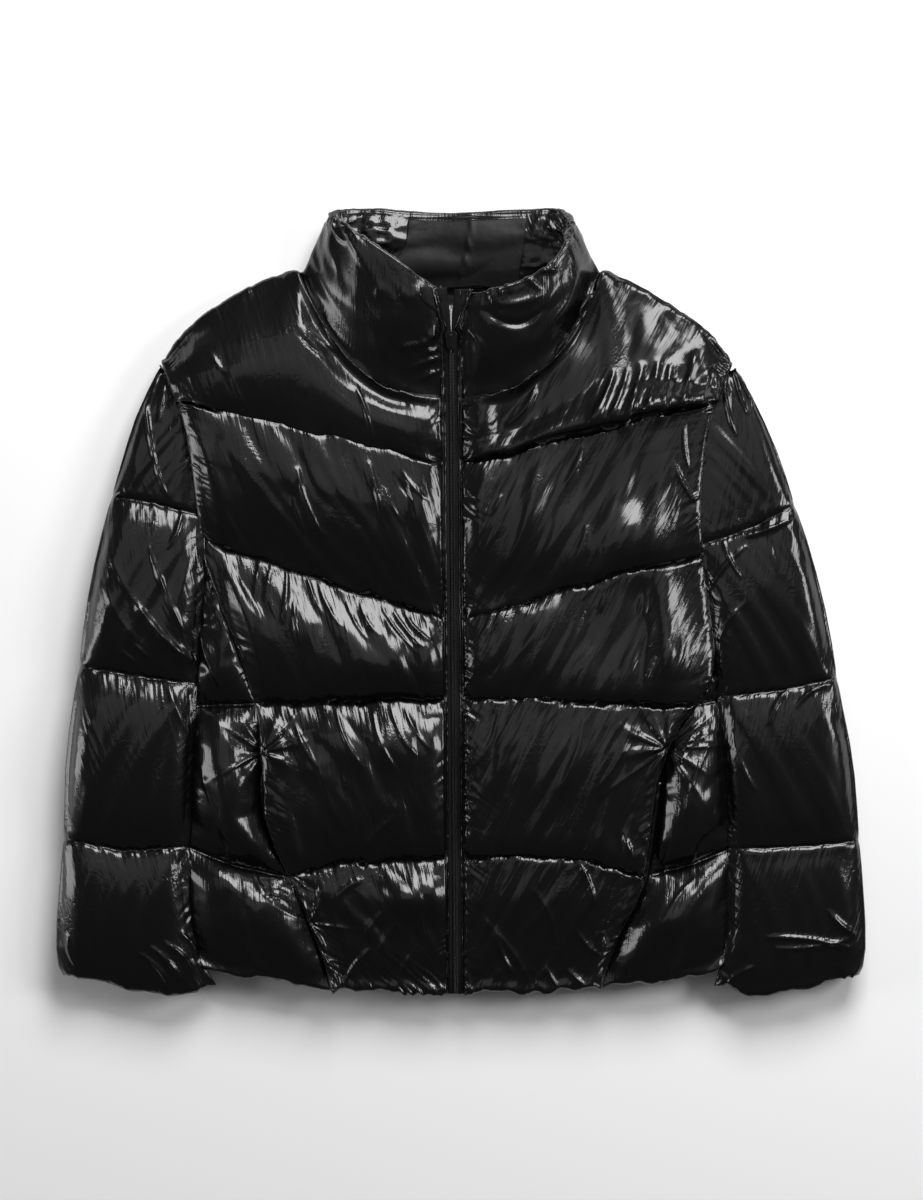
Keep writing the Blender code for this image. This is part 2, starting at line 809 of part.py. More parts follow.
# Stitched lines of each sleeve from its head to its cuff: Y at the outer edge, the middle and the inner edge.
SLEEVE_QUILT = {
    "right": table(
        "outer middle inner",
        (211.5, 209.5, 206),
        (92.7, 87, 76.5),
        (-60, -68, -75),
        (-214, -225, -221.5),
    ),
    "left": table(
        "outer middle inner",
        (209, 207, 204),
        (85.5, 65, 49.5),
        (-70, -81, -87),
        (-216, -221, -223),
    ),
}
SLEEVE_CROWN = (50.0, 56.0, 58.0, 55.0)
SLEEVE_SEAM = 37.0
CUFF_HEIGHT = 33.0
SLEEVE_STEPS = (0.0, 0.06, 0.2, 0.4, 0.6, 0.8, 0.94)
SLEEVE_FOLDS = {
    "right": table(
        "x0 y0 x1 y1 depth width",
        (-326, 50, -252, -40, 3.0, 7),
        (-300, 60, -246, -6, -2.6, 8),
        (-272, 150, -256, 96, 2.8, 7),
        (-262, 118, -246, 80, -2.2, 7),
        (-330, -14, -272, -60, 2.6, 8),
        (-340, -100, -330, -200, 2.4, 9),
        (-262, -92, -250, -150, 2.6, 7),
        (-352, -240, -340, -282, 2.4, 7),
        (-300, -250, -286, -320, -2.2, 8),
        (-262, -262, -246, -330, 2.4, 7),
        (-318, -120, -290, -190, -2.2, 9),
    ),
    "left": table(
        "x0 y0 x1 y1 depth width",
        (238, 150, 262, 96, 3.0, 7),
        (250, 190, 262, 130, 2.6, 7),
        (232, 36, 296, 78, 2.8, 7),
        (240, 20, 306, 60, -2.4, 8),
        (262, -100, 246, -180, 2.6, 7),
        (316, -80, 262, -190, 2.8, 8),
        (338, -90, 300, -170, -2.4, 8),
        (262, 10, 330, -50, 2.2, 8),
        (340, -262, 300, -292, 2.6, 8),
        (262, -284, 330, -300, -2.2, 8),
        (352, -312, 300, -346, 2.2, 7),
    ),
}


# A sleeve's section: its outline's squareness, how far its outer edge pulls in at a stitched line, the
# steepness of its arch, and how flat it lies on the surface below.
SQUARENESS, PINCH, ARCH, FLATNESS = 2.5, 1.2, 0.8, 1.12
ARCH_SHARE = 0.42  # the most its top rises, as a share of its width
HEAD_SEAM = 30.0  # height of its head's seam at the shoulder
UPPER_LEVEL, INNER_LEVEL, LOWER_LEVEL = 1.0, 2.5, 3.0  # of its edges, above and below SLEEVE_MIDDLE
INNER_REACH, TIP_REACH = 14.0, 18.0  # over which the inner edge rises under the arm and at the shoulder's tip
SLEEVE_FOLDS_WIDTH, NARROW = 60.0, 30.0  # widths under which folds are shallower and the head lifts
SLIT_EDGE = 0.4  # half the slit at its sides


def sleeve_line_y(side, line, share):
    if line == 4:
        return smooth(share, CUFF[side]["share"], CUFF[side]["y"])
    rows = SLEEVE_QUILT[side]
    return smooth(share, (0, 0.5, 1), [rows[name][line] for name in ("outer", "middle", "inner")])


def sleeve_inner_x(side, y):
    below = SLEEVE_INNER_BELOW_HEM
    gap = SLEEVE_GAP + CORNER_GAP * np.exp(-(((y - CORNER_Y) / CORNER_REACH) ** 2))
    body = edge_x(side, y, BODY_EDGE) + sign(side) * gap
    return np.where(y < -330, smooth(y, below["y"], below[side]), body)


UNDER_ARM = {"right": 34.0, "left": 44.0}


def inner_wall(side, y):
    """Heights between which a sleeve's inner edge stands upright: high along the armhole, low below it."""
    share = np.clip((y - UNDER_ARM[side] + INNER_REACH) / INNER_REACH, 0, 1)
    near_tip = np.clip((SHOULDER["right_y"][-1] - y) / TIP_REACH, 0, 1)
    low = SLEEVE_MIDDLE + INNER_LEVEL
    return low + (FRONT_INSIDE + SEAM_THICK - low) * share * near_tip, SLEEVE_MIDDLE - LOWER_LEVEL


def sleeve_rings(side, band, t):
    """The outer ring and, where the slit runs, the inner ring of one cross-section."""
    turn_top = np.linspace(0, math.pi, TOP_STEPS + 1)
    turn_low = np.linspace(math.pi, 0, BOTTOM_STEPS + 1)
    crown, low_seam = SLEEVE_CROWN[band], SLEEVE_SEAM
    high_seam = SLEEVE_SEAM if band < 3 else CUFF_HEIGHT
    if band == 0:
        low_seam = HEAD_SEAM
    height = low_seam + (high_seam - low_seam) * t + (crown - SLEEVE_SEAM) * pillow(t)
    outer, slit = [], []
    for turns, upper in ((turn_top, True), (turn_low, False)):
        lobe = np.sign(np.cos(turns)) * np.abs(np.cos(turns)) ** (2 / SQUARENESS)
        share = 0.5 - 0.5 * lobe
        y = sleeve_line_y(side, band, share) * (1 - t) + sleeve_line_y(side, band + 1, share) * t
        out_x = edge_x(side, y, SLEEVE_OUTER)
        in_x = sleeve_inner_x(side, y)
        pinch = PINCH * (1 - pillow(t, 0.3)) * (1 - share)
        x = out_x - sign(side) * pinch + (in_x - out_x + sign(side) * pinch) * share
        width = np.abs(in_x - out_x)
        inner_high, inner_low = inner_wall(side, y)
        level = (SLEEVE_MIDDLE + UPPER_LEVEL) * (1 - share) + inner_high * share
        if upper:
            arch = np.abs(np.sin(turns)) ** ARCH
            puff = np.minimum(height - SLEEVE_MIDDLE, ARCH_SHARE * width)
            near_arm = np.clip((inner_high - SLEEVE_MIDDLE - INNER_LEVEL) / 6, 0, 1) * share**2
            z = level + (SLEEVE_MIDDLE + puff - level) * arch * (1 - 0.25 * near_arm)
            wave = sleeve_gathers(side, band, t, share) + creases(SLEEVE_FOLDS[side], x, y)
            folds = wave * np.sin(turns) ** 2 * np.clip(width / SLEEVE_FOLDS_WIDTH, 0, 1)
            z = np.maximum(z + folds, level * (arch < 0.5))
            outer += list(zip(x, y, z))
        else:
            dip = np.clip(FLATNESS * np.abs(np.sin(turns)) ** 0.7, 0, 1)
            base = (SLEEVE_MIDDLE - UPPER_LEVEL) * (1 - share) + inner_low * share
            lift = np.clip((NARROW - width) / NARROW, 0, 1) * 0.6
            z = base * (1 - dip * (1 - lift))
            outer += list(zip(x, y, z))
        middle = (out_x + in_x) / 2
        slit_x = middle + (x - middle) * SLIT_SHARE
        slit_half = SLIT_EDGE + (SLIT_HALF - SLIT_EDGE) * np.abs(np.sin(turns))
        slit_z = SLEEVE_MIDDLE + (slit_half if upper else -slit_half)
        slit += list(zip(slit_x, y, slit_z))
    return outer, slit


# A sleeve's gathers, in the same terms as GATHERS, from its head's line to its cuff, where they are tightest.
SLEEVE_GATHERS = table(
    "count depth reach",
    (0, 0.0, 0.26),
    (6, 2.0, 0.26),
    (6, 2.0, 0.26),
    (6, 2.0, 0.26),
    (8, 2.6, 0.30),
)
SLEEVE_PHASE = {"right": 0.7, "left": 2.3}
SLEEVE_DRIFT, SLEEVE_DRIFT_RATE = 0.03, 7.0


def sleeve_gathers(side, band, t, share):
    """Ridges beside a sleeve's stitched lines and, tighter, round its cuff."""
    phase = SLEEVE_PHASE[side]
    lift = np.zeros_like(share)
    for line, from_line in ((band, t), (band + 1, 1 - t)):
        count, depth, reach = (column[line] for column in SLEEVE_GATHERS.values())
        fade = (from_line / reach) * np.exp(1 - from_line / reach)
        if line == 4:
            fade = np.exp(-((from_line / reach) ** 2))
        warped = share + SLEEVE_DRIFT * np.sin(SLEEVE_DRIFT_RATE * share + phase + line)
        lift = lift + depth * fade * np.sin(2 * math.pi * count * warped + phase * line)
    return lift


def sleeve(side, finish):
    places = [(band, t) for band in range(4) for t in SLEEVE_STEPS] + [(3, 1.0)]
    outer, slit = [], []
    for band, t in places:
        ring, inside = sleeve_rings(side, band, t)
        outer.append(ring)
        if min(point[1] for point in ring) < SLIT_TOP_Y and (band, t) >= (2, 0.06):
            slit.append(inside)
    return tube(f"sleeve_{side}", outer + slit[::-1], finish)


# ---------------------------------------------------------------------------------------------------------
# Collar.

# The collar's outside, from its zip edge round to the back's middle: X and height of its lower edge, X, Y and
# height of its upper edge, and the angle in which its thickness runs inwards, from straight down at the
# front to straight up at the back.
COLLAR_RIGHT = table(
    "base_x base_z top_x top_y top_z inward",
    (-18.0, 33.0, -18.0, 275.5, 62.6, -90),
    (-22.0, 33.0, -22.0, 277.0, 63.2, -90),
    (-50.0, 34.5, -51.0, 299.0, 71.0, -90),
    (-86.0, 34.5, -83.0, 322.0, 67.0, -84),
    (-115.0, 33.0, -106.0, 338.0, 57.0, -60),
    (-136.0, 30.5, -117.0, 346.5, 44.0, -28),
    (-146.6, 24.0, -120.0, 350.5, 30.0, 0),
    (-143.0, 12.0, -116.0, 354.0, 13.0, 36),
    (-124.0, 2.4, -99.0, 356.6, 2.4, 76),
    (-82.0, 0.4, -56.0, 354.0, 0.4, 90),
    (-10.0, 0.4, -10.0, 352.5, 0.4, 90),
)
COLLAR_LEFT = table(
    "base_x base_z top_x top_y top_z inward",
    (-2.0, 33.0, -2.0, 272.0, 62.0, -90),
    (2.0, 33.0, 2.0, 272.6, 62.6, -90),
    (31.0, 34.5, 31.0, 278.0, 70.0, -90),
    (66.0, 34.5, 67.0, 292.0, 68.0, -84),
    (96.0, 33.0, 88.0, 311.0, 60.0, -60),
    (116.0, 30.5, 98.0, 330.0, 46.0, -28),
    (126.8, 24.0, 100.5, 344.0, 31.0, 0),
    (123.0, 12.0, 96.0, 352.0, 13.0, 36),
    (104.0, 2.4, 79.0, 355.0, 2.4, 76),
    (62.0, 0.4, 36.0, 354.0, 0.4, 90),
    (-10.0, 0.4, -10.0, 352.5, 0.4, 90),
)
FRONT_STATIONS = 5  # of each table's rows, those whose lower edge is sewn to the front's neckline
COLLAR_PIECES = 26  # sections in each half
COLLAR_BULGE, COLLAR_EDGE, COLLAR_PAD = 7.0, 8.0, 5.5
SIDE_BULGE_SHARE, BULGE_UNTIL = 0.15, 0.2  # of the bulge at the sides, and the inward rise where it ends
LEAST_SWELL = 0.1
CREST_RISE = 2.4  # how far the rounded upper edge stands past its outside and inside
NECK_SEAM_GAP = (0.5, 1.0)  # from the neckline's line at the zip, and from the third section on
ZIP_END_GAP = 0.2
COLLAR_OUT = (0.0, 0.12, 0.34, 0.6, 0.84, 0.97)
COLLAR_IN = (0.99, 0.8, 0.5, 0.2, 0.0)
# The waves of the mouth's edge at its corners.
MOUTH_DEPTH, MOUTH_RATE, MOUTH_AT, MOUTH_REACH = 1.8, 4.1, 4.2, 1.9


def collar_section(side, at):
    """(lower point, upper point, inward direction, bulge share) at a place along one half, 0 at the zip."""
    rows = COLLAR_RIGHT if side == "right" else COLLAR_LEFT
    index = np.arange(len(rows["base_x"]), dtype=float)
    value = {name: float(smooth(at, index, column)) for name, column in rows.items()}
    beside_zip = sign(side) * (PANEL_EDGE + ZIP_END_GAP + EDGE_LIP * at)
    x = float(centre_x(NECKLINE["right_y"][0])) + beside_zip if at <= 1 else value["base_x"]
    blend = np.clip((at - FRONT_STATIONS) / 1.0, 0, 1)
    neck = float(neck_y(side, x)) * (1 - blend) + float(back_neck_y(x)) * blend
    seam_gap = NECK_SEAM_GAP[0] + (NECK_SEAM_GAP[1] - NECK_SEAM_GAP[0]) * min(1.0, at / 3)
    base = np.array([x, neck + seam_gap, value["base_z"]])
    wave = MOUTH_DEPTH * math.sin(MOUTH_RATE * at) * math.exp(-(((at - MOUTH_AT) / MOUTH_REACH) ** 2))
    top_x = float(centre_x(value["top_y"])) + beside_zip if at <= 1 else value["top_x"]
    top = np.array([top_x, value["top_y"] + wave, value["top_z"]])
    angle = math.radians(value["inward"])
    inward = np.array([-sign(side) * math.cos(angle), 0, math.sin(angle)])
    swell = float(rise(max(0.0, at - 1.0), 0.9))
    return base, top, inward, swell


def collar_outside(side, at, up):
    """A point of the collar's outside, up being the share from its lower to its upper edge."""
    base, top, inward, swell = collar_section(side, at)
    point = base + (top - base) * up
    if swell == 0.0:
        point[2] = zip_z(point[1]) + LIP_ABOVE_TAPE
    bulge_share = max(-inward[2], SIDE_BULGE_SHARE) if inward[2] < BULGE_UNTIL else 0.0
    return point - inward * COLLAR_BULGE * float(pillow(up)) * swell * bulge_share


def collar_inside(side, at, up):
    """A point of the collar's inside and the direction that its padding is measured in."""
    base, top, inward, swell = collar_section(side, at)
    point = base + (top - base) * up
    if swell == 0.0:
        point[2] = zip_z(point[1]) + LIP_ABOVE_TAPE
    thick = COLLAR_EDGE + COLLAR_PAD * float(pillow(up)) * max(swell, LEAST_SWELL)
    return point + inward * thick, inward


def collar_places():
    """Every section from the right zip edge, round the back, to the left one, as (side, place)."""
    last = len(COLLAR_RIGHT["base_x"]) - 1
    step = np.linspace(1, last, COLLAR_PIECES)
    half = [0.0, *step]
    return [("right", at) for at in half] + [("left", at) for at in half[-2::-1]]


def collar(finish):
    rings = []
    for side, at in collar_places():
        outside = [collar_outside(side, at, up) for up in COLLAR_OUT]
        inside = [collar_inside(side, at, up)[0] for up in COLLAR_IN]
        crest = (outside[-1] + inside[0]) / 2
        crest[1] += CREST_RISE
        rings.append([*outside, crest, *inside])
    return tube("collar", rings, finish)


FACING_FROM = 8.8  # the place along each half where the facing's side seam lies
FACING_UPS = (0.04, 0.25, 0.5, 0.75, 0.93)
FACING_GAP, FACING_THICK, FACING_SECTIONS = 0.4, 1.2, 9


def collar_facing(finish):
    """The smooth piece on the inside of the collar's back."""
    last = len(COLLAR_RIGHT["base_x"]) - 1
    half = np.linspace(FACING_FROM, last, FACING_SECTIONS)
    places = [("right", at) for at in half] + [("left", at) for at in half[-2::-1]]
    rings = []
    for side, at in places:
        under, over = [], []
        for up in FACING_UPS:
            point, inward = collar_inside(side, at, up)
            under.append(point + inward * FACING_GAP)
            over.append(point + inward * (FACING_GAP + FACING_THICK))
        rings.append(under + over[::-1])
    return tube("collar_facing", rings, finish)


# ---------------------------------------------------------------------------------------------------------
# Zip and bindings.


def zip_stations(side):
    """Y of the rows beside the zip, which the front, collar, tape and binding share."""
    places = [front_plan(side, band, t)[2][0] for band, t in row_places()]
    above = [collar_outside(side, 0.0, up)[1] for up in COLLAR_OUT]
    return np.array(places + above)


def strip(name, side, ys, near, far, under, over, finish):
    """A flat strip along the zip, between two distances from its centre and two heights above its tape."""
    rings = []
    for y in ys:
        c, z = float(centre_x(y)), float(zip_z(y))
        a, b = c + sign(side) * near, c + sign(side) * far
        rings.append([(a, y, z + under), (b, y, z + under), (b, y, z + over), (a, y, z + over)])
    return tube(name, rings, finish)


def zip_pieces(tape_finish, shell_finish, slider_finish):
    for side in SIDES:
        ys = zip_stations(side)
        strip(f"zip_tape_{side}", side, ys, TAPE_FROM, TAPE_EDGE, -TAPE_THICK, 0.0, tape_finish)
        over = LIP_ABOVE_TAPE + SEAM_GAP
        strip(f"binding_{side}", side, ys, BINDING_FROM, BINDING_TO, over, over + BINDING_THICK, shell_finish)
    ys = zip_stations("right")
    ys = np.append(ys[ys < CHAIN_TOP_Y], CHAIN_TOP_Y)
    rings = []
    for y in ys:
        c, z = float(centre_x(y)), float(zip_z(y)) + SEAM_GAP
        rings.append(hard_section(c, y, z, CHAIN_HALF, CHAIN_THICK))
    tube("zip_chain", rings, tape_finish)
    slider(slider_finish)


def hard_section(middle, y, z, half, high):
    """A cross-section with chamfered upper corners, standing on the height z."""
    side, flat = 0.6 * high, 0.65 * half
    corners = ((-half, 0), (half, 0), (half, side), (flat, high), (-flat, high), (-half, side))
    return [(middle + dx, y, z + dz) for dx, dz in corners]


# The slider from its lower end: its width and height there, as shares of its largest.
SLIDER_FORM = table(
    "along width height",
    (0, 0.62, 0.7),
    (0.2, 0.8, 1.0),
    (0.6, 1.0, 1.0),
    (0.88, 0.95, 0.9),
    (1, 0.7, 0.6),
)
SLIDER_LIFT = 0.5


def slider(finish):
    """The slider's body at the top of the closed chain: shoulders at the upper end, narrower below."""
    rings = []
    for along, width, height in zip(*SLIDER_FORM.values()):
        y = CHAIN_TOP_Y + SEAM_GAP + SLIDER_LENGTH * along
        z = float(zip_z(y)) + SLIDER_LIFT
        rings.append(hard_section(float(centre_x(y)), y, z, SLIDER_HALF * width, SLIDER_THICK * height))
    tube("zip_slider", rings, finish)


# ---------------------------------------------------------------------------------------------------------


def stand_on_origin():
    """Moves every piece so that the origin is at the middle of the jacket's underside."""
    meshes = [made.data for made in bpy.context.scene.collection.objects if made.type == "MESH"]
    corners = np.array([vertex.co[:] for mesh in meshes for vertex in mesh.vertices])
    low, high = corners.min(axis=0), corners.max(axis=0)
    shift = -np.array([(low[0] + high[0]) / 2, (low[1] + high[1]) / 2, low[2]])
    for mesh in meshes:
        for vertex in mesh.vertices:
            vertex.co = [a + b for a, b in zip(vertex.co, shift)]


def build():
    for old in list(bpy.data.objects):
        bpy.data.objects.remove(old)
    shell = material("coated_nylon", (0.13, 0.13, 0.14), 0.28)
    lining = material("plain_nylon", (0.11, 0.11, 0.115), 0.42)
    tape = material("zip_tape", (0.1, 0.1, 0.1), 0.6)
    enamel = material("slider_enamel", (0.09, 0.09, 0.09), 0.35, 0.3)
    back(shell)
    for side in SIDES:
        front(side, shell)
        side_panel(side, shell)
        pocket_welt(side, lining)
        sleeve(side, shell)
    collar(shell)
    collar_facing(lining)
    zip_pieces(tape, shell, enamel)
    stand_on_origin()


build()
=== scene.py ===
"""A black wet-look puffer jacket, zipped up and laid flat on its back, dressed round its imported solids.

Sizes are in millimetres and meshes in metres. X runs from the wearer's right to the left, Y from the hem to
the collar and Z up from the floor. Left and right are the wearer's. Outlines and heights are read from the
solids with rays, so each padded piece lies where its own solid does.
"""

import math

import bmesh
import bpy
import numpy as np
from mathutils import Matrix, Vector
from mathutils.bvhtree import BVHTree


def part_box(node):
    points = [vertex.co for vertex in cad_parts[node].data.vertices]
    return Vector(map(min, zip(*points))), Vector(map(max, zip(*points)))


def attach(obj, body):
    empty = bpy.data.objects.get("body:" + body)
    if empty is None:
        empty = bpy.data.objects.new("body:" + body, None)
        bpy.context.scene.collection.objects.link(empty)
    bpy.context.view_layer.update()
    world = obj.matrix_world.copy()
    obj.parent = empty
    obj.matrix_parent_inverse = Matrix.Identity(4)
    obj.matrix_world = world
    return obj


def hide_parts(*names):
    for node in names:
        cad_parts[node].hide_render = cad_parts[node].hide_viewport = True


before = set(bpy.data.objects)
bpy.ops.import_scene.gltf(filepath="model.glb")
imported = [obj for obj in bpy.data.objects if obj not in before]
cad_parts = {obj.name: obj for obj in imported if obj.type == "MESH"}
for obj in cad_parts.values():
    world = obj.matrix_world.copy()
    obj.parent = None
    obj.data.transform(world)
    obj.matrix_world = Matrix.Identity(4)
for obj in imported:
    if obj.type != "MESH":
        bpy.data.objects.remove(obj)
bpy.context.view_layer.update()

MM = 0.001
SIDES = ("right", "left")


# ---------------------------------------------------------------------------------------------------------
# Shell cloth: a thin tight nylon taffeta with a clear wet-look coating. It is cut with ease, so that it
# gathers at every stitched line into fine creases that run away from the line.

def linear(hex_colour):
    """The linear RGBA of an sRGB hex colour."""
    parts = [int(hex_colour[i : i + 2], 16) / 255 for i in (1, 3, 5)]
    return (*[((c + 0.055) / 1.055) ** 2.4 if c > 0.04045 else c / 12.92 for c in parts], 1.0)


def add_node(tree, kind, inputs=(), **settings):
    """A node of a tree with its settings, and its inputs set to values or linked from other outputs."""
    made = tree.nodes.new(kind)
    for name, value in settings.items():
        setattr(made, name, value)
    for name, value in dict(inputs).items():
        if isinstance(value, bpy.types.NodeSocket):
            tree.links.new(value, made.inputs[name])
        else:
            made.inputs[name].default_value = value
    return made


def new_material(name, colour, roughness, **sockets):
    """A material with its shader's own sockets set."""
    made = bpy.data.materials.new(name)
    made.use_nodes = True
    shader = made.node_tree.nodes["Principled BSDF"]
    shader.inputs["Base Color"].default_value = linear(colour)
    shader.inputs["Roughness"].default_value = roughness
    for socket, value in sockets.items():
        shader.inputs[socket.replace("_", " ")].default_value = value
    return made


def bumped(made, bump, *sockets):
    """The material with a bump node's normals linked to its shader's sockets."""
    shader = made.node_tree.nodes["Principled BSDF"]
    for socket in sockets:
        made.node_tree.links.new(bump.outputs["Normal"], shader.inputs[socket])
    return made


HAIR_PITCH, HAIR_LENGTH, HAIR_DEPTH = 2.1, 24.0, 0.32  # of the finest creases
CREASE_PITCH, CREASE_LENGTH, CREASE_DEPTH = 4.6, 40.0, 0.55  # of the creases that carry them
CRINKLE_PITCH, CRINKLE_PATCH, CRINKLE_DEPTH = 3.6, 38, 0.3  # of the crinkles that break both up in patches


def coated_nylon():
    """Coated nylon: black yarn under a clear film, so a broad soft sheen below a sharper reflection."""
    made = new_material(
        "coated_nylon_taffeta", "#050506", 0.42, IOR=1.19, Coat_Weight=0.85, Coat_Roughness=0.15, Coat_IOR=1.5
    )
    tree = made.node_tree
    cut = add_node(tree, "ShaderNodeUVMap", uv_map="cut")
    strength = add_node(tree, "ShaderNodeAttribute", attribute_name="gather")
    lively = add_node(
        tree, "ShaderNodeMapRange", {"Value": strength.outputs["Fac"], "To Min": 0.3, "To Max": 1.0}
    )
    bump = None
    for pitch, length, depth in (
        (CREASE_PITCH, CREASE_LENGTH, CREASE_DEPTH),
        (HAIR_PITCH, HAIR_LENGTH, HAIR_DEPTH),
    ):
        stretched = add_node(
            tree,
            "ShaderNodeMapping",
            {"Vector": cut.outputs["UV"], "Scale": (1 / (pitch * MM), 1 / (length * MM), 1)},
        )
        creases = add_node(
            tree,
            "ShaderNodeTexNoise",
            {
                "Vector": stretched.outputs["Vector"],
                "Scale": 1.0,
                "Detail": 2.0,
                "Roughness": 0.5,
                "Distortion": 0.3,
            },
        )
        below = {"Normal": bump.outputs["Normal"]} if bump else {}
        bump = add_node(
            tree,
            "ShaderNodeBump",
            {
                "Height": creases.outputs["Fac"],
                "Strength": lively.outputs["Result"],
                "Distance": depth * MM,
                **below,
            },
        )
    crinkles = add_node(
        tree,
        "ShaderNodeTexNoise",
        {"Vector": cut.outputs["UV"], "Scale": 1 / (CRINKLE_PITCH * MM), "Detail": 1.0, "Distortion": 0.7},
    )
    patches = add_node(
        tree, "ShaderNodeTexNoise", {"Vector": cut.outputs["UV"], "Scale": 1 / (CRINKLE_PATCH * MM)}
    )
    where = add_node(
        tree, "ShaderNodeMapRange", {"Value": patches.outputs["Fac"], "From Min": 0.5, "From Max": 0.65}
    )
    bump = add_node(
        tree,
        "ShaderNodeBump",
        {
            "Height": crinkles.outputs["Fac"],
            "Strength": where.outputs["Result"],
            "Distance": CRINKLE_DEPTH * MM,
            "Normal": bump.outputs["Normal"],
        },
    )
    return bumped(made, bump, "Normal", "Coat Normal")


shell_cloth = coated_nylon()


# ---------------------------------------------------------------------------------------------------------
# Fronts: two quilted padded panels, five bands each, held flat by the zip's binding on one side and sewn to
# the sleeve and the side panel on the other. The shell is cut wider than the panel and gathered to it.

solids = {}


def touch(node, start, way):
    """Where a ray first meets a node's solid, or None."""
    if node not in solids:
        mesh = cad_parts[node].data
        corners = [vertex.co / MM for vertex in mesh.vertices]
        solids[node] = BVHTree.FromPolygons(corners, [polygon.vertices[:] for polygon in mesh.polygons])
    return solids[node].ray_cast(Vector(start), Vector(way))[0]


def sign(side):
    return -1.0 if side == "right" else 1.0


RAY_STEP = 2.0
RUN_ON = 10  # steps by which a side is run on in line
FAR = 500.0  # beyond the jacket on every side


def side_reader(node, way, height, low, high):
    """X of a solid's side at any Y: level rays from outside, run on in line past the range's start."""
    ys, xs = [], []
    for y in np.arange(low, high, RAY_STEP):
        point = touch(node, (-way * FAR, y, height), (way, 0, 0))
        if point is not None:
            ys.append(y)
            xs.append(point.x)
    slope = (xs[1] - xs[0]) / RAY_STEP
    ys, xs = [ys[0] - RUN_ON * RAY_STEP, *ys], [xs[0] - slope * RUN_ON * RAY_STEP, *xs]
    return lambda y: np.interp(y, ys, xs)


def end_reader(node, way, height, low, high):
    """Y of a solid's lower or upper end at any X, in the same way."""
    xs, ys = [], []
    for x in np.arange(low, high, RAY_STEP):
        point = touch(node, (x, -way * FAR, height), (0, way, 0))
        if point is not None:
            xs.append(x)
            ys.append(point.y)
    return lambda x: np.interp(x, xs, ys)


ZIP_HEM_X, ZIP_HEM_Y, ZIP_LEAN = -4.49, -355.1, -4.5 / 630  # the zip's centre line, which leans a little


def centre_x(y):
    return ZIP_HEM_X + ZIP_LEAN * (np.asarray(y, float) - ZIP_HEM_Y)


# Stitched quilt lines: Y where each meets the zip, at quarters of the front's width and at its outer seam.
FRONT_QUILT = {
    "right": (
        (-233.1, -235.1, -237.1, -240.1, -250.1),
        (-90.1, -91.1, -92.6, -94.1, -94.1),
        (-17.1, -2.1, 14.9, 32.9, 52.9),
        (120.9, 134.9, 148.4, 162.9, 176.9),
    ),
    "left": (
        (-233.1, -232.1, -233.1, -238.1, -248.1),
        (-90.1, -90.6, -92.1, -96.1, -95.1),
        (-17.1, -3.1, 11.9, 25.9, 38.9),
        (120.9, 133.9, 148.9, 162.9, 175.9),
    ),
}
QUARTERS = (0, 0.25, 0.5, 0.75, 1)
BAND_HEIGHTS = (118, 143, 100, 137, 120)
CELL = 2.6  # size of the cloth's cells before they are refined
PANEL_EDGE, LIP = 8.6, 1.2  # of the panel beside the zip's centre line, and the flat width beside it
# The cloth rises from its sewn edges more steeply than the solid: ways from the zip's centre line and from
# the outer seam, and where on the solid the heights there are read.
ZIP_RISE = (8.6, 12.5, 40.0), (12.2, 27.0, 40.0)
SEAM_RISE = (0.0, 6.0, 36.0), (0.0, 15.0, 36.0)
NECK_RISE = (0.0, 0.55, 0.97, 1.0), (0.0, 0.5, 0.66, 1.0)  # shares of the top band's height, in the same way
# How the filling lies, as the crown's share from the lower line of a band to its upper line: in an even or a
# steeper slope from the upper line, eased to both lines, sunk to the lower line, in a box, drawn into a roll
# above the lower line, or in a soft low swell.
EVEN_SLOPE = (0.0, 0.08, 0.2, 0.4, 0.6, 0.8, 1.0), (0.0, 0.5, 0.82, 1.0, 0.88, 0.46, 0.0)
STEEP_SLOPE = (0.0, 0.08, 0.2, 0.4, 0.62, 0.8, 0.9, 1.0), (0.0, 0.5, 0.82, 1.0, 0.97, 0.75, 0.43, 0.0)
EASED = (0.0, 0.04, 0.1, 0.2, 0.5, 0.7, 0.8, 0.9, 1.0), (0.0, 0.5, 0.85, 0.97, 1.0, 0.92, 0.67, 0.33, 0.0)
SUNK = (0.0, 0.04, 0.1, 0.2, 0.35, 0.5, 0.7, 1.0), (0.0, 0.5, 0.92, 1.0, 0.76, 0.42, 0.2, 0.0)
BOXY = (0.0, 0.04, 0.1, 0.2, 0.5, 0.8, 0.9, 0.96, 1.0), (0.0, 0.5, 0.78, 0.93, 1.0, 0.93, 0.78, 0.5, 0.0)
ROLLED = (0.0, 0.02, 0.05, 0.09, 0.22, 0.34, 0.6, 1.0), (0.0, 0.6, 0.95, 1.0, 0.62, 0.3, 0.26, 0.0)
SOFT = (0.0, 0.2, 0.45, 0.6, 0.8, 1.0), (0.0, 0.6, 1.0, 1.0, 0.6, 0.0)
# Beside the left armhole it also slopes evenly to the seam: shares of the width, and where heights are read.
TO_ARMHOLE = (0.0, 0.6, 0.76, 0.86, 0.967, 1.0), (0.0, 0.7, 0.87, 0.955, 0.985, 1.0)
SEAM_TOP_Y = 170.0  # above it the outer seam turns over the shoulder
BASE = 24.3  # height of the fronts' plain inside
EDGE_HEIGHT = BASE + 0.3
NUDGE = 0.5  # how far inside the border the border's heights are read


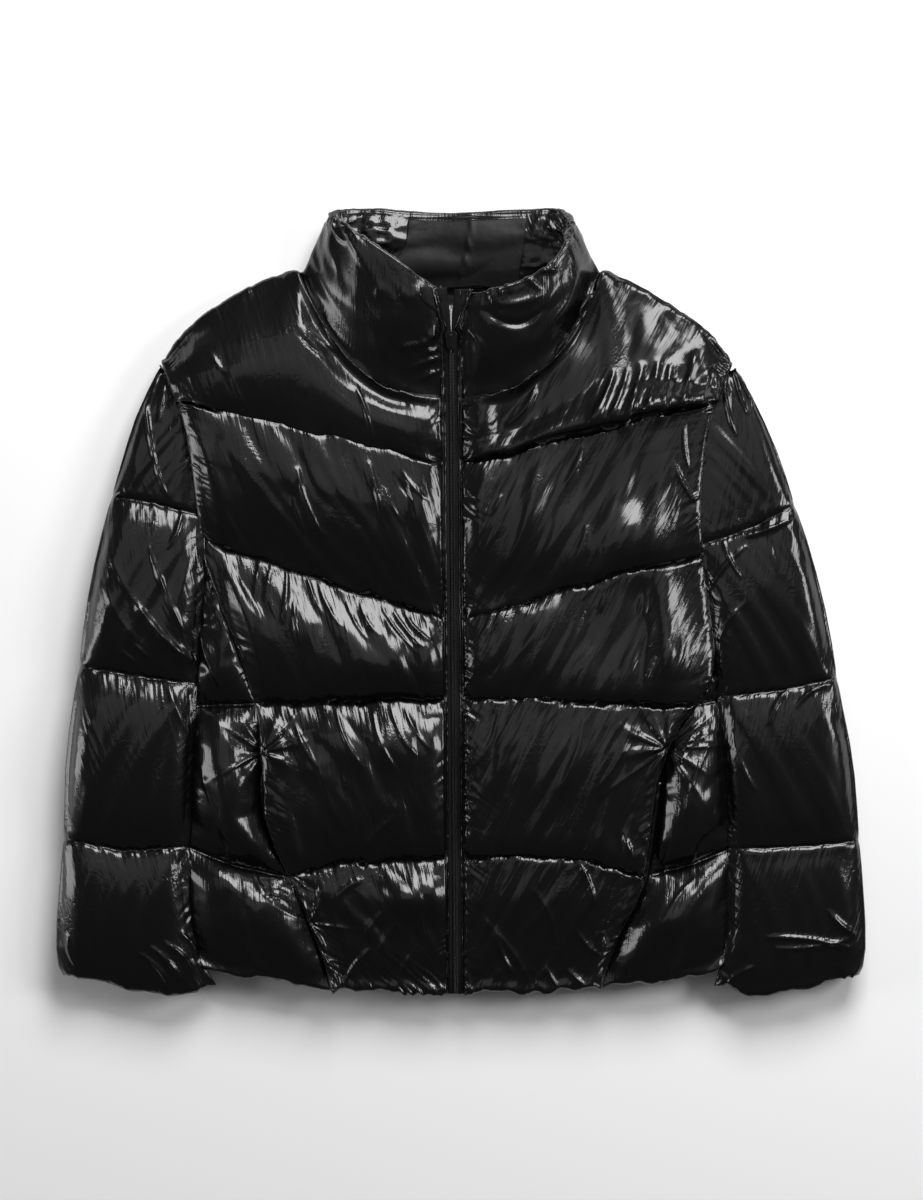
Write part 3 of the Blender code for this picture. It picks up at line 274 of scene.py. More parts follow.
def lay(node, xs, ys, look_xs=None):
    """Points of a grid on a solid's upper face; heights may be read at other places across."""
    rows, columns = xs.shape
    look_xs = xs if look_xs is None else look_xs
    points = np.full((rows, columns, 3), np.nan)
    for i in range(rows):
        for j in range(columns):
            inner_i = min(max(i, 1), rows - 2)
            inner_j = min(max(j, 1), columns - 2)
            inwards = Vector((xs[inner_i, inner_j] - xs[i, j], ys[inner_i, inner_j] - ys[i, j], 0))
            look = Vector((look_xs[i, j], ys[i, j], FAR)) + inwards.normalized() * NUDGE
            point = touch(node, look, (0, 0, -1))
            points[i, j] = (xs[i, j], ys[i, j], np.nan if point is None else point.z)
    return points


def fill_gaps(points):
    """Heights that no ray found are taken from the nearest point of the same row, then column."""
    z = points[..., 2]
    for i, row in enumerate(z):
        known = ~np.isnan(row)
        if known.any() and not known.all():
            at = np.arange(len(row))
            z[i] = np.interp(at, at[known], row[known])
    for j in range(z.shape[1]):
        known = ~np.isnan(z[:, j])
        if not known.all():
            at = np.arange(len(z))
            z[:, j] = np.interp(at, at[known], z[known, j])
    return points


def evened(points, pinned, passes=36):
    """The same points with their heights smoothed between the stitched lines."""
    z = points[..., 2]
    for _ in range(passes):
        mean = z.copy()
        mean[1:-1, 1:-1] = (z[:-2, 1:-1] + z[2:, 1:-1] + z[1:-1, :-2] + z[1:-1, 2:]) / 4
        z[...] = np.where(pinned, z, mean)
    return points


def smooth(at, xs, ys):
    """The smooth curve through the points (xs, ys), which never overshoots them, read at the places given."""
    xs, ys = np.asarray(xs, float), np.asarray(ys, float)
    step = np.diff(xs)
    slope = np.diff(ys) / step
    tangent = np.concatenate([slope[:1], (slope[1:] + slope[:-1]) / 2, slope[-1:]])
    tangent[1:-1][slope[1:] * slope[:-1] <= 0] = 0
    limit = 3 * np.minimum(np.abs(slope[1:]), np.abs(slope[:-1]))
    tangent[1:-1] = np.clip(tangent[1:-1], -limit, limit)
    at = np.clip(at, xs[0], xs[-1])
    i = np.clip(np.searchsorted(xs, at, side="right") - 1, 0, len(step) - 1)
    t = (at - xs[i]) / step[i]
    lift = t * (1 - t) ** 2 * tangent[i] - t**2 * (1 - t) * tangent[i + 1]
    return ys[i] + (ys[i + 1] - ys[i]) * t * t * (3 - 2 * t) + lift * step[i]


def read_elsewhere(heights, axis, given, read):
    """Heights along an axis of a grid, each taken from another share of the way along it."""
    lines = np.moveaxis(heights, axis, 0)
    share = np.linspace(0, 1, len(lines))
    at = smooth(share, given, read) * (len(lines) - 1)
    low = np.minimum(at.astype(int), len(lines) - 2)
    part = (at - low)[:, None]
    return np.moveaxis(lines[low] * (1 - part) + lines[low + 1] * part, 0, axis)


CROWN_AT, CROWN_LEAST = 85, 3.0  # the percentile of a band's swell that counts as its crown, and the least
CROWN_SIDE, USUAL_SIDE = 6, 12  # columns to either side over which the crown and its course are averaged


def reformed(heights, bands, which, profile, weight):
    """Heights with the crowns of some bands given another profile from line to line, their creases kept."""
    changed = heights.copy()
    for band in which:
        rows = np.flatnonzero(bands == band)
        if band < bands[-1]:
            rows = np.append(rows, rows[-1] + 1)
        t = np.linspace(0, 1, len(rows))[:, None]
        swell = heights[rows] - heights[rows[0]] * (1 - t) - heights[rows[-1]] * t
        crown = np.maximum(np.percentile(swell, CROWN_AT, axis=0), CROWN_LEAST)
        even = np.full(2 * CROWN_SIDE + 1, 1 / (2 * CROWN_SIDE + 1))
        crown = np.convolve(np.pad(crown, CROWN_SIDE, mode="edge"), even, mode="valid")
        usual = np.pad(swell / crown, ((0, 0), (USUAL_SIDE, USUAL_SIDE)), mode="edge")
        usual = sum(usual[:, k : k + len(crown)] for k in range(2 * USUAL_SIDE + 1)) / (2 * USUAL_SIDE + 1)
        changed[rows] += (smooth(t, *profile) - usual) * crown * weight
    return changed


def cloth_cut(laid, ease, lean):
    """The flat cut of a laid sheet: wider along its rows by the ease, and leaning by a share of it."""
    cut = laid.copy()
    cut[..., 0] = laid[:, :1, 0] + (laid[..., 0] - laid[:, :1, 0]) * ease[0] + lean * laid[..., 1]
    cut[..., 1] = laid[..., 1] * ease[1]
    return cut


def numbered(rows, columns):
    """The numbers of a grid's points, row by row."""
    return np.arange(rows * columns).reshape(rows, columns)


def rim_of(grid):
    """The numbers of the points on a numbered grid's border, once round."""
    return [*grid[0, :-1], *grid[:-1, -1], *grid[-1, :0:-1], *grid[:0:-1, 0]]


def quads(rows, columns, start=0):
    """The faces of a numbered grid."""
    grid = numbered(rows, columns) + start
    return np.stack([grid[:-1, :-1], grid[:-1, 1:], grid[1:, 1:], grid[1:, :-1]], axis=-1).reshape(-1, 4)


def lofted(rings, count, first=0):
    """The faces of a closed loft: rings of so many points side by side, and a face over either end."""
    faces = []
    for i in range(rings - 1):
        here, above = first + i * count, first + (i + 1) * count
        for j in range(count):
            k = (j + 1) % count
            faces.append((here + j, here + k, above + k, above + j))
    faces.append(tuple(range(first, first + count))[::-1])
    faces.append(tuple(range(first + (rings - 1) * count, first + rings * count)))
    return faces


FILL_PRESSURE, CLOTH_MASS, STRETCH, SHEAR, BEND = 5.0, 0.15, 15.0, 5.0, 0.02
DRAWN_BY, SETTLED_BY = 8, 24  # frames over which the cut is drawn to its sewn size, and then settles
CREASE_PASSES, SWELL_PASSES = 4, 60  # of smoothing, which leave the creases and the swell alone
SWELL_MOST = 5.0  # of the filling's push beyond the solid's own form
CREASE_SHARE = 0.6  # of the simulated creases that is kept


def settle_down(moved, pinned, passes):
    """The cloth's movement, smoothed between its stitched places."""
    moved = moved.copy()
    for _ in range(passes):
        mean = (moved[:-2, 1:-1] + moved[2:, 1:-1] + moved[1:-1, :-2] + moved[1:-1, 2:]) / 4
        inner = moved[1:-1, 1:-1]
        moved[1:-1, 1:-1] = np.where(pinned[1:-1, 1:-1, None], inner, 0.4 * inner + 0.6 * mean)
    return moved


def stuff(sheets, most=4.0, kept=CREASE_SHARE):
    """Blender's cloth for several sheets at once, each (laid points, cut points, pinned mask, flipped)."""
    made = []
    for laid, cut, pinned, flipped in sheets:
        rows, columns = pinned.shape
        faces = quads(rows, columns)
        faces = faces[:, ::-1] if flipped else faces
        mesh = bpy.data.meshes.new("cloth_in_work")
        mesh.from_pydata((cut.reshape(-1, 3) * MM).tolist(), [], faces.tolist())
        sheet = bpy.data.objects.new("cloth_in_work", mesh)
        bpy.context.scene.collection.objects.link(sheet)
        group = sheet.vertex_groups.new(name="sewn")
        group.add(np.flatnonzero(pinned).tolist(), 1.0, "ADD")
        sheet.shape_key_add(name="Basis")
        sewn = sheet.shape_key_add(name="sewn")
        sewn.data.foreach_set("co", (laid.reshape(-1, 3) * MM).astype(np.float32).ravel())
        sewn.value = 0.0
        sewn.keyframe_insert("value", frame=1)
        sewn.value = 1.0
        sewn.keyframe_insert("value", frame=DRAWN_BY)
        cloth = sheet.modifiers.new("cloth", "CLOTH")
        settings = cloth.settings
        settings.quality = 4
        settings.mass = CLOTH_MASS
        settings.tension_stiffness = settings.compression_stiffness = STRETCH
        settings.shear_stiffness = SHEAR
        settings.bending_stiffness = BEND
        settings.tension_damping = settings.compression_damping = settings.shear_damping = 0.2
        settings.bending_damping = 0.01
        settings.vertex_group_mass = "sewn"
        settings.use_pressure = True
        settings.uniform_pressure_force = FILL_PRESSURE
        settings.effector_weights.gravity = 0
        cloth.collision_settings.use_collision = False
        cloth.point_cache.frame_start = 1
        cloth.point_cache.frame_end = SETTLED_BY
        made.append(sheet)
    for at in range(1, SETTLED_BY + 1):
        bpy.context.scene.frame_set(at)
    settled = []
    depsgraph = bpy.context.evaluated_depsgraph_get()
    for sheet, (laid, cut, pinned, flipped) in zip(made, sheets):
        shape = sheet.evaluated_get(depsgraph).data
        points = np.empty(laid.size, np.float32)
        shape.vertices.foreach_get("co", points)
        moved = settle_down(points.reshape(laid.shape) / MM - laid, pinned, CREASE_PASSES)
        swell = settle_down(moved, pinned, SWELL_PASSES)
        size = np.linalg.norm(swell, axis=-1, keepdims=True)
        calmer = swell * (SWELL_MOST * np.tanh(size / SWELL_MOST) / np.maximum(size, 1e-6) - 1)
        creases = moved - swell
        depth = np.linalg.norm(creases, axis=-1, keepdims=True)
        creases *= most * np.tanh(depth / most) / np.maximum(depth, 1e-6)
        settled.append(laid + swell + calmer + kept * creases)
    for sheet in made:
        mesh = sheet.data
        bpy.data.objects.remove(sheet)
        bpy.data.meshes.remove(mesh)
    bpy.context.scene.frame_set(1)
    return settled


def refine(grid):
    """A grid with another point between each two, on smooth curves through them."""
    for axis in (0, 1):
        lines = np.moveaxis(grid, axis, 0)
        beyond = np.concatenate([2 * lines[:1] - lines[1:2], lines, 2 * lines[-1:] - lines[-2:-1]])
        middle = (9 * (beyond[1:-2] + beyond[2:-1]) - beyond[:-3] - beyond[3:]) / 16
        finer = np.empty((2 * len(lines) - 1, *lines.shape[1:]))
        finer[::2] = lines
        finer[1::2] = middle
        grid = np.moveaxis(finer, 0, axis)
    return grid


def noise(u, v, seed):
    """Smooth random heights from 0 to 1 over a lattice of unit squares."""
    size = 64
    table = np.random.default_rng(seed).random((size, size))
    i, j = np.floor(u).astype(int), np.floor(v).astype(int)
    s, t = u - i, v - j
    s, t = s * s * (3 - 2 * s), t * t * (3 - 2 * t)
    low = table[i % size, j % size] * (1 - s) + table[(i + 1) % size, j % size] * s
    high = table[i % size, (j + 1) % size] * (1 - s) + table[(i + 1) % size, (j + 1) % size] * s
    return low * (1 - t) + high * t


def normals(skin):
    """The unit normals of a grid of points, on its upper side."""
    across = np.gradient(skin, axis=1)
    along = np.gradient(skin, axis=0)
    up = np.cross(across, along)
    up /= np.maximum(np.linalg.norm(up, axis=-1, keepdims=True), 1e-9)
    return up


def crumpled(flat, gather, lively, seed, pitch=5.6, length=42.0, depth=0.7):
    """Heights of the creases that run away from the stitched lines, for a cut's places, more where lively."""
    u, v = flat[..., 0], flat[..., 1]
    drift = 1.5 * pitch * noise(u / (5 * pitch), v / (0.8 * length), seed + 1)
    ridge = 1 - np.abs(2 * noise((u + drift) / pitch, v / length, seed) - 1)
    fine = 1 - np.abs(2 * noise((u + drift) / (0.55 * pitch), v / (0.6 * length), seed + 2) - 1)
    patch = 0.12 + 0.5 * noise(u / 46, v / 60, seed + 3) * gather + lively
    return depth * patch * (ridge**3 + 0.4 * fine**2 - 0.4)


def lively_spots(skin, spots):
    """From 0 to 1, how crumpled the cloth is round the places in a table of spots."""
    return np.minimum(swollen(skin, spots), 1.0)


def folded(skin, folds):
    """Heights of the creases that are placed one by one, as seen from above."""
    x, y = skin[..., 0], skin[..., 1]
    lift = np.zeros_like(x)
    for x0, y0, x1, y1, bow, height, width in folds:
        length = math.hypot(x1 - x0, y1 - y0)
        along = ((x - x0) * (x1 - x0) + (y - y0) * (y1 - y0)) / length**2
        beside = ((x - x0) * (y1 - y0) - (y - y0) * (x1 - x0)) / length
        near = np.clip(along, 0, 1)
        away = np.hypot(beside - bow * 4 * near * (1 - near), (along - near) * length)
        taper = np.sin(math.pi * np.clip(0.08 + 0.84 * near, 0, 1)) ** 0.7
        lift += 0.8 * height * taper / (1 + (away / (0.85 * width)) ** 2) ** 1.5
    return lift


def crinkled(flat, lively, seed, size=8.0, depth=2.4):
    """Heights of tight crinkles that run every way, where the cloth is lively."""
    u, v = flat[..., 0] / size, flat[..., 1] / size
    u, v = u + 0.8 * noise(v * 0.7, u * 0.7, seed + 1), v + 0.8 * noise(u * 0.7 + 5, v * 0.7, seed + 2)
    ridge = 1 - np.abs(2 * noise(u, v, seed) - 1)
    fine = 1 - np.abs(2 * noise(2.3 * u, 2.3 * v, seed + 3) - 1)
    return depth * lively * (ridge**2.5 + 0.35 * fine**2 - 0.4)


def swollen(skin, swells):
    """Heights of broad soft swells, from a table of X, Y, reach across, reach up and height."""
    lift = np.zeros(skin.shape[:-1])
    for at_x, at_y, reach_x, reach_y, height in swells:
        across, up = (skin[..., 0] - at_x) / reach_x, (skin[..., 1] - at_y) / reach_y
        lift += height * np.exp(-(across**2) - up**2)
    return lift


def edge_puckers(away, along, seed, pitch=5.5, reach=6.0, depth=1.2):
    """Heights of the short tucks that stand on a sewn edge, for the way from it and the way along it."""
    shift = 4.0 * noise(away / 9.0, along / 14.0, seed + 5) + 0.7 * away
    ridge = 1 - np.abs(2 * noise((along + shift) / pitch, away / 16.0, seed) - 1)
    uneven = 0.15 + 1.5 * noise(along / 17.0, along * 0, seed + 6) ** 1.5
    return depth * uneven * (ridge**1.5 - 0.4) * np.exp(-away / reach) * np.clip(away / 1.2, 0, 1)


def puckered_stars(skin, stars):
    """Heights of tucks that meet in a point, from a table of X, Y, reach, rays, height and turn."""
    x, y = skin[..., 0], skin[..., 1]
    lift = np.zeros_like(x)
    for at_x, at_y, reach, rays, height, turn in stars:
        away = np.hypot(x - at_x, y - at_y)
        round_it = np.arctan2(y - at_y, x - at_x) - math.radians(turn)
        wide = rays / math.tau
        ray = 1 - np.abs(2 * noise(wide * np.cos(round_it) + 9, wide * np.sin(round_it) + 9, int(turn)) - 1)
        near = np.minimum(away / 5, 1) * np.exp(-away / reach)
        lift += height * ((ray**2.5 - 0.35) * near - 0.5 * np.exp(-away / 3.5))
    return lift


def ruffled(skin, row, flat, reach, depth, seed, pitch=12.0):
    """How far a gathered end's puffs push out beyond its stitched edge, and up."""
    away = np.linalg.norm(skin - skin[row][None], axis=-1)
    puff = noise(flat[row, :, 0] / pitch, flat[row, :, 0] * 0, seed)[None] - 0.35
    return depth * puff * np.exp(-((away / reach) ** 2))


def cloth_piece(name, points, faces, cut, gather, finish, stitched=()):
    """A closed piece with the cut as its UV map, how gathered the cloth is, and sharp folds at stitches."""
    mesh = bpy.data.meshes.new(name)
    mesh.from_pydata((np.asarray(points) * MM).tolist(), [], faces)
    mesh.attributes.new("gather", "FLOAT", "POINT").data.foreach_set("value", np.asarray(gather, np.float32))
    corner = np.empty(len(mesh.loops), np.int32)
    mesh.loops.foreach_get("vertex_index", corner)
    layer = mesh.uv_layers.new(name="cut")
    layer.data.foreach_set("uv", (np.asarray(cut)[corner] * MM).astype(np.float32).ravel())
    body = bmesh.new()
    body.from_mesh(mesh)
    bmesh.ops.recalc_face_normals(body, faces=body.faces)
    if body.calc_volume(signed=True) < 0:
        bmesh.ops.reverse_faces(body, faces=body.faces)
    body.to_mesh(mesh)
    body.free()
    mesh.shade_smooth()
    ends = np.empty(2 * len(mesh.edges), np.int32)
    mesh.edges.foreach_get("vertices", ends)
    mesh.edges.foreach_set("use_edge_sharp", np.isin(ends.reshape(-1, 2), stitched).all(axis=1))
    mesh.materials.append(finish)
    made = bpy.data.objects.new(name, mesh)
    bpy.context.scene.collection.objects.link(made)
    return made


# A padded side from the seam down: how far below the seam, and how far it swells out.
WALL = ((1.0, 1.0), (2.6, 1.7), (6.0, 1.6), (60.0, 0.0))


def padded_wall(name, top, cut, gather, base, finish, stitched=()):
    """A padded panel: its quilted face, sides that swell except at the hem, and a plain flat inside."""
    rows, columns = top.shape[:2]
    grid = numbered(rows, columns)
    rim = rim_of(grid)
    points = top.reshape(-1, 3)
    edge = points[rim]
    ahead = np.roll(edge, -2, axis=0) - np.roll(edge, 2, axis=0)
    out = np.stack([ahead[:, 1], -ahead[:, 0], np.zeros(len(rim))], axis=1)
    out /= np.maximum(np.linalg.norm(out, axis=1, keepdims=True), 1e-9)
    out *= np.sign(np.sum(out[:, :2] * (edge - edge.mean(axis=0))[:, :2]))
    out[:columns] = 0
    loops = [edge]
    for drop, swell in WALL:
        loop = edge + out * swell
        loop[:, 2] = np.maximum(edge[:, 2] - drop, base)
        loops.append(loop)
    count = len(points)
    names = [np.array(rim)] + [count + len(rim) * i + np.arange(len(rim)) for i in range(len(WALL))]
    faces = quads(rows, columns).tolist()
    for upper, lower in zip(names, names[1:]):
        for here, after, next_up, next_down in zip(upper, lower, np.roll(upper, -1), np.roll(lower, -1)):
            faces.append([int(k) for k in (here, after, next_down, next_up)])
    faces.append([int(k) for k in names[-1][::-1]])
    walls = np.concatenate(loops[1:])
    flat_cut = np.concatenate([cut.reshape(-1, 2), walls[:, :2]])
    gathered = np.concatenate([gather.ravel(), np.ones(len(walls))])
    folded_at = grid[stitched].ravel() if len(stitched) else ()
    return cloth_piece(name, np.concatenate([points, walls]), faces, flat_cut, gathered, finish, folded_at)


WANDER = 4.5  # how far a quilt line strays from its even course


def front_plan(side):
    """X and Y of a front's grid from the hem up, the rows that are stitched, and the rows' bands."""
    node = "front_" + side
    way = sign(side)
    outer = side_reader(node, -way, EDGE_HEIGHT, -344, 212)
    reach = (0.0, 243.0) if side == "left" else (-268.0, -12.6)
    hem = end_reader(node, 1, EDGE_HEIGHT, *reach)
    top = end_reader(node, -1, EDGE_HEIGHT, *reach)
    try_x = np.arange(*reach, 1.0)
    neck_x = float(try_x[np.argmax(top(try_x))])
    tip_x = float(outer(210.0))
    count = round(228 / CELL)
    share = np.concatenate([[0.0], np.linspace(LIP / 220, 1, count)])

    def across(y):
        start = centre_x(y) + way * PANEL_EDGE
        return start + (outer(y) - start) * share

    lines = [hem(across(np.full_like(share, -350.0)))]
    for i, line in enumerate(FRONT_QUILT[side]):
        wander = noise(share * 9 + 3.1 * i, share * 0, 151 if side == "right" else 157) - 0.5
        lines.append(np.interp(share, QUARTERS, line) + WANDER * wander * np.sin(math.pi * share) ** 0.5)
    neck_share = 0.55
    start = float(centre_x(180.0)) + way * PANEL_EDGE
    top_x = np.interp(share, (0, neck_share, 1), (start, neck_x, tip_x))
    lines.append(top(top_x))
    xs, ys, bands, ts = [], [], [], []
    for band in range(5):
        steps = round(BAND_HEIGHTS[band] / CELL)
        for t in np.arange(steps + (band == 4)) / steps:
            y = lines[band] + (lines[band + 1] - lines[band]) * t
            low_x = across(y) if band < 4 else across(lines[4])
            xs.append(low_x if band < 4 else low_x + (top_x - low_x) * t)
            ys.append(y)
            bands.append(band)
            ts.append(t)
    return np.array(xs), np.array(ys), np.array(bands), np.array(ts)


def from_stitches(ts, heights):
    """How far each row lies from the stitched line below it or above it, whichever is nearer."""
    return np.minimum(ts, 1 - ts) * heights


def each_point(away, shape):
    """The same for each row of the refined grid, and for each of its points."""
    rows_away = np.interp(np.arange(shape[0]) / 2, np.arange(len(away)), away)
    return rows_away, np.repeat(rows_away[:, None], shape[1], axis=1)


def from_ends(count):
    """How many places each of so many is from the nearer end."""
    return np.minimum(np.arange(count), np.arange(count)[::-1])


def sewn_down(ts, columns, beside=1):
    """Which points of a panel are stitched: its quilt lines, its border and more columns beside the zip."""
    pinned = np.zeros((len(ts), columns), bool)
    pinned[ts == 0] = True
    pinned[-1] = True
    pinned[:, :beside] = True
    pinned[:, -1] = True
    return pinned


GATHER_REACH = 26.0  # over which the gathers beside a stitched line die away
GROOVE_DEPTH, GROOVE_HALF = 2.0, 1.3  # of the groove that the stitches pull


def grooved(away, flat, seed):
    """The groove that the stitches pull, and the small puckers along it."""
    u, v = flat[..., 0], flat[..., 1]
    pucker = 1 - np.abs(2 * noise(u / 4.2, v / 18.0, seed) - 1)
    uneven = 0.45 + 0.9 * noise(u / 6.5, v * 0, seed + 4)
    groove = -GROOVE_DEPTH * uneven * np.exp(-away / GROOVE_HALF)
    return groove + 1.1 * (pucker**1.5 - 0.4) * np.exp(-away / 7.0) * (1 - np.exp(-((away / 2.0) ** 2)))


def ragged(away, flat, seed):
    """How far a stitched line and the cloth beside it stray up and down between its puckers."""
    return 1.5 * (noise(flat[..., 0] / 5.0, away * 0, seed + 8) - 0.5) * np.exp(-((away / 5.0) ** 2))


FRONT_EASE = (1.05, 1.0)
FRONT_LEAN = 0.05
CREASE_LEAN = {"right": 0.22, "left": 0.5}  # sideways run of the fine creases for each mm down, to the zip
# Where the cloth is most crumpled: X, Y, reach across, reach up and amount.
FRONT_SPOTS = {
    "right": (
        (-66, -18, 50, 22, 0.5),
        (-152, -6, 30, 40, 0.7),
        (-70, -190, 46, 24, 0.6),
        (-40, -290, 26, 14, 0.6),
        (-38, 72, 24, 42, 0.5),
        (-210, 197, 44, 22, 0.35),
        (-190, -140, 22, 40, 0.5),
        (-160, -300, 40, 24, 0.5),
    ),
    "left": (
        (175, 182, 52, 22, 0.9),
        (182, 76, 26, 38, 0.7),
        (206, -46, 16, 44, 0.7),
        (30, 75, 18, 60, 0.4),
        (24, -120, 16, 60, 0.4),
        (120, -250, 60, 26, 0.4),
    ),
}
# Creases placed one by one: start, end, bow, height (a trough's is negative) and width.
FRONT_FOLDS = {
    "right": (
        (-146, 115, -124, 58, 3, 2.6, 2.6),
        (-149, 89, -140, 60, 1, 1.8, 2.4),
        (-82, 121, -70, 67, -1, 2.0, 2.2),
        (-68, 98, -53, 69, 1, 1.6, 2.2),
        (-53, 115, -31, 89, 2, 1.6, 2.2),
        (-60, 112, -42, 86, 1, -1.4, 2.2),
        (-94, 190, -79, 141, -2, 2.4, 2.4),
        (-139, 242, -113, 223, 1, 2.0, 2.6),
        (-146, 238, -122, 216, 1, -1.6, 2.6),
        (-223, 219, -211, 202, 1, 1.6, 2.4),
        (-206, 204, -194, 173, 1, 1.8, 2.4),
        (-214, 208, -202, 180, 1, -1.4, 2.2),
        (-180, 34, -184, 0, 1, 2.2, 2.2),
        (-170, 29, -175, 0, 0, 2.0, 2.2),
        (-157, 26, -160, -20, -2, 2.4, 2.4),
        (-149, -3, -144, -40, 1, 2.2, 2.2),
        (-137, 17, -124, -14, 1, 2.0, 2.4),
        (-126, 10, -108, -24, 2, 1.8, 2.4),
        (-70, -9, -41, -46, 2, 1.8, 2.0),
        (-60, -12, -34, -43, 2, 1.8, 2.0),
        (-50, -14, -27, -38, 2, 1.8, 2.0),
        (-102, -4, -84, -36, 2, 1.6, 2.2),
        (-90, -6, -74, -32, 2, 1.6, 2.2),
        (-112, -98, -88, -150, 4, 2.0, 2.6),
        (-62, -100, -40, -140, 3, 1.8, 2.4),
        (-50, -98, -28, -134, 3, 1.8, 2.4),
        (-78, -104, -60, -150, 3, 1.8, 2.6),
        (-150, -106, -128, -150, 3, 1.8, 2.6),
        (-106, -346, -83, -315, -2, 3.4, 2.8),
        (-70, -281, -87, -304, 2, 2.4, 4.0),
        (-90, -252, -113, -269, 2, 2.2, 4.0),
        (-58, -292, -78, -330, 3, 2.0, 4.0),
        (-126, -262, -131, -286, 0, 3.0, 2.2),
        (-120, -325, -110, -345, 0, 2.4, 3.0),
        (-56, -345, -44, -318, -2, 2.0, 3.0),
        (-128, -134, -104, -206, 5, 1.8, 4.0),
        (-60, -196, -92, -232, 3, 1.8, 4.5),
    ),
    "left": (
        (67, 190, 41, 156, -4, 2.4, 2.4),
        (136, 199, 119, 158, -2, 2.2, 2.4),
        (137, 203, 114, 157, -2, 3.4, 3.2),
        (149, 204, 131, 159, -2, 3.4, 3.2),
        (162, 208, 145, 157, -2, 5.0, 5.0),
        (177, 211, 161, 159, -2, 4.6, 4.6),
        (188, 208, 177, 161, -1, 4.6, 4.6),
        (210, 219, 196, 170, -1, 4.2, 4.2),
        (221, 203, 213, 172, -1, 3.4, 3.2),
        (228, 201, 232, 172, 1, 3.4, 3.2),
        (109, 135, 95, 104, -1, 2.4, 2.4),
        (126, 46, 117, 14, -1, 1.6, 3.0),
        (112, 64, 96, 20, -2, 1.6, 3.4),
        (82, 76, 62, 24, -3, 1.4, 4.0),
        (60, 84, 40, 30, -3, 1.4, 4.0),
        (36, 92, 27, 76, 0, 2.0, 2.0),
        (200, 158, 204, 115, 2, 2.4, 2.4),
        (191, 121, 211, 86, 2, 2.4, 2.6),
        (117, 13, 110, 0, 0, 2.0, 2.0),
        (128, 2, 124, -11, 0, 1.8, 2.0),
        (162, 2, 158, -14, 0, 1.6, 2.0),
        (171, 5, 167, -12, 0, 1.6, 2.0),
        (30, -6, 18, -34, -1, 2.0, 2.0),
        (40, -2, 26, -30, -1, 1.8, 2.0),
        (34, -100, 20, -140, -2, 1.8, 2.4),
        (28, -240, 16, -272, -1, 1.8, 2.4),
        (150, -120, 120, -170, -4, 1.6, 3.4),
        (110, -110, 88, -170, -3, 1.4, 3.6),
        (32, -301, 47, -336, 2, 3.4, 2.8),
        (107, -239, 119, -272, -2, 3.4, 2.6),
        (76, -332, 86, -348, 0, 3.0, 3.0),
        (97, -334, 113, -348, 0, 2.8, 3.0),
        (104, -298, 126, -321, 2, 2.4, 3.2),
        (22, -289, 60, -341, -3, 2.0, 4.0),
        (66, -262, 84, -300, -3, 1.8, 4.0),
        (128, -300, 138, -330, 0, 2.4, 3.0),
        (146, -210, 154, -232, 1, 3.0, 3.0),
    ),
}
# Broad swells and hollows of the filling: X, Y, reach across, reach up and height.
FRONT_SWELLS = {
    "right": (
        (-44, -268, 26, 18, 9.0),
        (-66, -132, 46, 24, 3.5),
        (-70, -62, 50, 24, 4.0),
        (-166, -20, 20, 40, 2.5),
    ),
    "left": (
        (118, 240, 22, 30, -5.0),
        (152, 55, 30, 28, 5.5),
        (188, -62, 18, 30, 3.0),
        (100, -160, 60, 26, 2.0),
    ),
}
# The tucks at the pockets' ends: X, Y, reach, rays, height and turn in degrees.
STARS = {
    "right": ((-177, -137, 22, 18, 5.0, 20), (-135, -291, 18, 15, 4.4, 70), (-168, -259, 12, 12, 3.0, 5)),
    "left": ((184, -134, 24, 22, 5.4, 10), (177, -238, 16, 15, 4.0, 40)),
}
# How much higher than the solids' the quilt lines lie, from the hem up: the ones that pull less.
LINE_RISE = {"right": (0.0, 0.0, 0.0, 10.0), "left": (6.0, 6.0, 4.0, 4.0)}
LINE_RISE_OVER = 25.0  # way from the zip over which the lines rise
SEAM_LIFT, HEM_LIFT, SEAM_REACH = 3.0, 6.0, 8.0  # the same of the outer seams and the hem, and how far in
TOP_LINE_PULL = {"right": 0.3, "left": 1.0}  # how hard the stitches of the uppermost line pull
NECKLINE_RISE, NECKLINE_REACH = 10.0, 12  # of the fronts' edge under the collar, and how far down it
NECKLINE_FROM, NECKLINE_TO, NECKLINE_FADE = 0.12, 0.6, 0.2  # shares of the width where it begins, ends, fades
CALM_PASSES = 60  # which smooth the right shoulder's swell
SUNK_FROM, SUNK_OVER = 0.35, 0.25  # shares of the left front's width where the filling sinks
ROLLED_AT_ZIP = 0.4  # how far the left shoulder is rolled beside the zip
ZIP_TUCK_DEPTH = {"right": 0.9, "left": 2.6}
HEM_TUCK_LEAN = 0.5
FRONT_SEEDS = {"right": 11, "left": 29}

